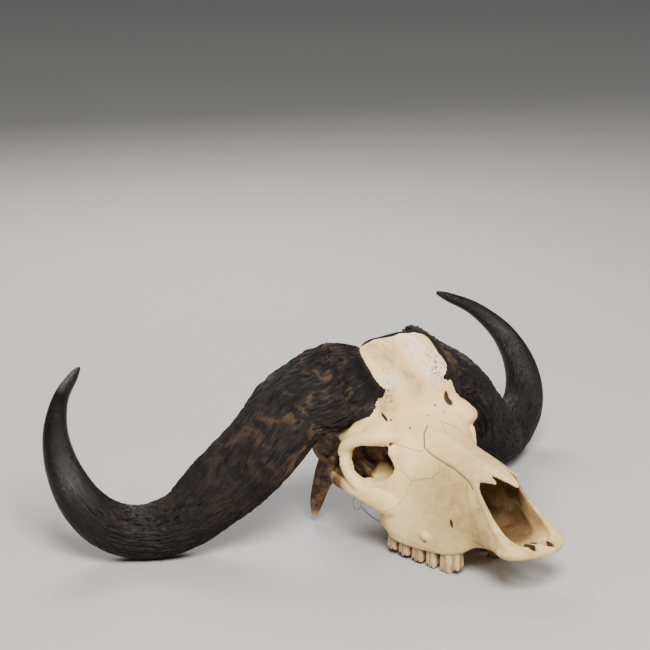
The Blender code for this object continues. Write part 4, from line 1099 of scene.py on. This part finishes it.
def horn_paint(settings):
    """Black keratin: barky and brown at the boss, fibrous in the middle and glossy at the tip."""
    paint = Paint("horn", roughness=.4, specular=.22)
    place = paint.place()
    fibre = paint.mask("fibre").outputs["Vector"]
    run = paint.mask("run").outputs["Fac"]
    relief = paint.mask("relief").outputs["Fac"]
    rough = paint.span(run, .38, .80, 1, 0)
    boss = paint.span(run, .12, .42, 1, 0)
    strands = paint.clouds(fibre, 3.2, 6, .65, .4)
    patches = paint.clouds(place, 30, 4, .62, .6)
    colour = paint.blend(paint.span(strands, .35, .70), settings.black, settings.dark)
    brown = paint.times(rough, paint.times(paint.span(patches, .44, .66), paint.span(strands, .38, .62)))
    colour = paint.blend(paint.times(brown, .75), colour, settings.brown)
    rust = paint.times(boss, paint.times(paint.span(paint.clouds(place, 21, 5, .6, .8), .54, .68), paint.span(relief, .42, .62)))
    colour = paint.blend(paint.times(rust, .72), colour, settings.rust)
    grey = paint.times(boss, paint.span(paint.clouds(fibre, 1.3, 5, .6), .56, .70, 0, .55))
    colour = paint.blend(grey, colour, settings.grey)
    # Painted shade: black in the low places between the rough ridges and bark
    crevice_shade = paint.times(rough, paint.span(relief, .25, .48, .85, 0))
    colour = paint.blend(crevice_shade, colour, settings.black)
    colour = paint.blend(paint.times(paint.mask("edge").outputs["Fac"], .65), colour, settings.black)
    paint.set("Base Color", colour)
    dull = paint.times(rough, paint.span(strands, .3, .7, .30, .48), 'ADD')
    gloss = paint.span(paint.clouds(place, 45, 3), .35, .65, .18, .30)
    mix = paint.times(dull, paint.times(rough, .55), 'MULTIPLY')
    paint.set("Roughness", paint.times(gloss, mix, 'ADD'))
    fine = paint.bump(strands, .0022, .45)
    paint.set("Normal", paint.bump(paint.clouds(fibre, 9.0, 4, .6), .0008, .35, fine))
    return paint.material


def tooth_paint(settings):
    """Cream enamel with brown stain in its grooves, painted shade between the teeth, and dark crescents."""
    paint = Paint("tooth", roughness=.35, specular=.5)
    place = paint.place((1, 1, .35))
    streaks = paint.clouds(place, 300, 4, .6)
    colour = paint.blend(paint.span(streaks, .35, .70), settings.enamel, settings.dentine)
    # Dark crescents, brown stain in the grooves and painted shade between the teeth
    stain = paint.times(paint.mask("crescent_stain_and_gap_shade").outputs["Fac"], paint.span(streaks, .2, .6, .6, 1.0))
    colour = paint.blend(stain, colour, settings.tooth_stain_and_gap_shade)
    patches = paint.span(paint.clouds(place, 170, 4, .65), .48, .62, 0, .72)
    colour = paint.blend(patches, colour, settings.tartar)
    paint.set("Base Color", colour)
    paint.set("Roughness", paint.span(streaks, .3, .7, .28, .5))
    paint.set("Normal", paint.bump(paint.clouds(place, 520, 5, .6), .0008, .35))
    return paint.material


def steel_paint(settings):
    """Bright drawn wire with fine scratches."""
    paint = Paint("steel", roughness=.25, metallic=.8)
    scratches = paint.clouds(paint.place((1, 1, .2)), 1600, 3)
    paint.set("Base Color", paint.blend(paint.span(scratches, .3, .7), settings.steel, settings.tarnish))
    paint.set("Roughness", paint.span(scratches, .3, .7, .16, .34))
    paint.set("Normal", paint.bump(scratches, .0002, .2))
    return paint.material


def colour_setting(name, description, value):
    """Describe one colour that a user can change."""
    return FloatVectorProperty(name=name, description=description, subtype='COLOR', size=3, min=0, max=1, default=value)


class SkullBoneSettings(PropertyGroup):
    """Sizes and colours of the bones."""
    grain: FloatProperty(name="Grain", description="Size of the bone mesh's smallest facets", default=.0013, min=.0008,
                         max=.004, unit='LENGTH')
    ivory: colour_setting("Ivory", "Main colour of the bone", (.83, .545, .200))
    cream: colour_setting("Cream", "Lighter bone", (.90, .66, .290))
    tan: colour_setting("Tan", "Warm stain", (.55, .335, .135))
    umber: colour_setting("Umber", "Deep brown stain", (.22, .11, .045))
    chalk: colour_setting("Chalk", "Bleached crust", (.87, .76, .56))
    # Rust and the darkest colour paint the dark stain mixed with painted shade under the horns, at the back and in the
    # orbits
    rust: colour_setting("Rust", "Brown under the horns", (.15, .055, .016))
    dark_stain_and_shade: colour_setting("Soot", "Darkest bone at the back", (.016, .007, .0035))
    # Colour of the suture lines and of the painted shade in pits and nerve holes
    crease: colour_setting("Crease", "Bottom of sutures and pits", (.040, .019, .008))
    # Colour of the painted shade inside the nose
    hollow: colour_setting("Nose", "Inside of the nose", (.080, .031, .011))


class SkullHornSettings(PropertyGroup):
    """Sizes and colours of the horns."""
    ridge: FloatProperty(name="Ridge", description="Height of the fibres and bark", default=.0030, min=0, max=.006,
                         unit='LENGTH')
    black: colour_setting("Black", "Polished keratin", (.0026, .0021, .0019))
    dark: colour_setting("Dark", "Fibres between the ridges", (.0090, .0065, .0050))
    brown: colour_setting("Brown", "Weathered fibres", (.038, .023, .014))
    rust: colour_setting("Rust", "Tan patches of the boss", (.125, .072, .038))
    grey: colour_setting("Grey", "Bleached fibres", (.060, .052, .045))


class SkullToothSettings(PropertyGroup):
    """Colours of the teeth and the hanger."""
    enamel: colour_setting("Enamel", "Tooth walls", (.62, .465, .255))
    dentine: colour_setting("Dentine", "Worn tooth", (.50, .33, .15))
    # Colour of the stain in the tooth grooves and of the painted shade between the teeth
    tooth_stain_and_gap_shade: colour_setting("Groove", "Stain between the teeth", (.10, .05, .025))
    tartar: colour_setting("Tartar", "Brown deposit", (.36, .22, .11))
    steel: colour_setting("Steel", "Bright wire", (.62, .63, .65))
    tarnish: colour_setting("Tarnish", "Dull wire", (.42, .42, .42))


class SkullStageSettings(PropertyGroup):
    """Floor, light and camera."""
    floor: colour_setting("Floor", "Colour of the floor", (.46, .45, .43))
    key: FloatProperty(name="Key", description="Main light", default=235, min=0, unit='POWER')
    fill: FloatProperty(name="Fill", description="Strength of the even light", default=.20, min=0, max=5)
    lens: FloatProperty(name="Lens", description="Focal length", default=118.68, min=10, max=400, unit='CAMERA')
    floor_size: IntProperty(name="Floor size", description="Half width of the floor in metres", default=40, min=2, max=200)


class SKULL_OT_stage(Operator):
    """Lay the floor, light it softly and set up the camera"""
    bl_idname = "skull.stage"
    bl_label = "Stage"

    def execute(self, context):
        settings = context.scene.skull_stage
        half = settings.floor_size
        bm = bmesh.new()
        bmesh.ops.create_grid(bm, x_segments=8, y_segments=8, size=half)
        floor = mesh_from("floor", bm)
        floor.location.z = -.0002
        paint = Paint("floor", roughness=.8, specular=.2)
        paint.set("Base Color", paint.blend(paint.clouds(paint.place(), 3), settings.floor,
                                            tuple(c * .97 for c in settings.floor)))
        floor.data.materials.append(paint.material)
        world = bpy.data.worlds.new("studio")
        world.use_nodes = True
        world.node_tree.nodes["Background"].inputs["Color"].default_value = (.92, .95, 1, 1)
        world.node_tree.nodes["Background"].inputs["Strength"].default_value = settings.fill
        context.scene.world = world
        target = Vector((0, -.05, .12))
        for name, place, size, power in (("key", (-1.3, -1.9, 2.5), 1.3, settings.key),
                                         ("side", (2.2, -1.4, 1.3), 1.2, settings.key * .10),
                                         ("rim", (.9, 2.0, 1.9), 1.4, settings.key * .30)):
            light = bpy.data.lights.new(name, 'AREA')
            light.size = size
            light.energy = power
            lamp = bpy.data.objects.new(name, light)
            lamp.location = place
            lamp.rotation_euler = (target - Vector(place)).to_track_quat('-Z', 'Y').to_euler()
            context.scene.collection.objects.link(lamp)
        camera = bpy.data.cameras.new("camera")
        camera.lens = settings.lens
        camera.sensor_width = 36
        ahead = Vector((.59331, .75939, -.26705)).normalized()
        up = Vector((.16845, .20728, .96367))
        right = ahead.cross(up).normalized()
        up = right.cross(ahead)
        eye = bpy.data.objects.new("camera", camera)
        eye.matrix_world = (Matrix.Translation((-1.95439, -2.32774, 1.16504))
                            @ Matrix((right, up, -ahead)).transposed().to_4x4())
        context.scene.collection.objects.link(eye)
        context.scene.camera = eye
        return {'FINISHED'}


class SKULL_OT_bones(Operator):
    """Fuse, weather and part the bones of the skull"""
    bl_idname = "skull.bones"
    bl_label = "Bones"

    def execute(self, context):
        settings = context.scene.skull_bone
        material = bone_paint(settings)
        body = fused_bone(settings.grain)
        horn = plain_horn("horn bed")
        bed = swollen(horn, "bed", JOINT_GAP)
        other = mirrored(bed, "bed left")
        combine(body, [bed, other], 'DIFFERENCE')
        discard([horn, bed, other])
        largest_body(body)
        pieces = parted_bones(body)
        body.name = "cranium_bone"
        for piece in pieces + [largest_body(body)]:
            if len(piece.data.polygons) < 100:
                raise RuntimeError(f"{piece.name} came out empty")
            bone_masks(piece.data)
            finish_piece(piece, material, "bone", piece.name.replace("_bone", ""))
        return {'FINISHED'}


class SKULL_OT_horns(Operator):
    """Grow both horns, and the strip of horn along the crest between them"""
    bl_idname = "skull.horns"
    bl_label = "Horns"

    def execute(self, context):
        settings = context.scene.skull_horn
        material = horn_paint(settings)
        for side, seed in (("right", 3.0), ("left", 57.0)):
            horn = detailed_horn(f"horn_{side}_keratin", settings.ridge, seed, side == "left")
            finish_piece(horn, material, "horn", f"horn_{side}", sharp=70)
        strip = tube("crest_keratin", CREST_STRIP, CREST_RADII, flat=1.5)
        for name, value in (("run", .05), ("relief", .5), ("edge", .4)):
            write_mask(strip.data, name, np.full(len(strip.data.vertices), value))
        finish_piece(strip, material, "horn")
        return {'FINISHED'}


class SKULL_OT_teeth(Operator):
    """Set the cheek teeth in both upper jaws"""
    bl_idname = "skull.teeth"
    bl_label = "Teeth"

    def execute(self, context):
        material = tooth_paint(context.scene.skull_tooth)
        for side in ("right", "left"):
            teeth = tooth_row(f"teeth_{side}", side == "left")
            finish_piece(teeth, material, "bone", sharp=50)
        return {'FINISHED'}


class SKULL_OT_hanger(Operator):
    """Hang the steel ring on its twisted wire behind the right teeth"""
    bl_idname = "skull.hanger"
    bl_label = "Hanger"

    def execute(self, context):
        material = steel_paint(context.scene.skull_tooth)
        finish_piece(wire_ring("ring"), material, "steel", "hanger_ring")
        finish_piece(twisted_wire("tie_wire"), material, "steel", "hanger_wire")
        return {'FINISHED'}


class SKULL_PT_panel(Panel):
    """Sidebar panel with the skull's settings and steps"""
    bl_idname = "SKULL_PT_panel"
    bl_label = "Skull"
    bl_space_type = 'VIEW_3D'
    bl_region_type = 'UI'
    bl_category = "Skull"

    def draw(self, context):
        scene = context.scene
        for settings, operators in ((scene.skull_stage, ("skull.stage",)), (scene.skull_bone, ("skull.bones",)),
                                    (scene.skull_horn, ("skull.horns",)),
                                    (scene.skull_tooth, ("skull.teeth", "skull.hanger"))):
            box = self.layout.box()
            for name in settings.__annotations__:
                box.prop(settings, name)
            for operator in operators:
                box.operator(operator)


GROUPS = (("skull_stage", SkullStageSettings), ("skull_bone", SkullBoneSettings), ("skull_horn", SkullHornSettings),
          ("skull_tooth", SkullToothSettings))
CLASSES = (SKULL_OT_stage, SKULL_OT_bones, SKULL_OT_horns, SKULL_OT_teeth, SKULL_OT_hanger, SKULL_PT_panel)


def register():
    """Register the settings, the steps and the panel."""
    for name, group in GROUPS:
        bpy.utils.register_class(group)
        setattr(bpy.types.Scene, name, PointerProperty(type=group))
    for cls in CLASSES:
        bpy.utils.register_class(cls)


def unregister():
    """Take the panel, the steps and the settings out again."""
    for cls in reversed(CLASSES):
        bpy.utils.unregister_class(cls)
    for name, group in reversed(GROUPS):
        delattr(bpy.types.Scene, name)
        bpy.utils.unregister_class(group)


def main():
    """Build every piece in order."""
    register()
    bpy.ops.skull.stage()
    bpy.ops.skull.bones()
    bpy.ops.skull.horns()
    bpy.ops.skull.teeth()
    bpy.ops.skull.hanger()


if __name__ == "__main__":
    main()
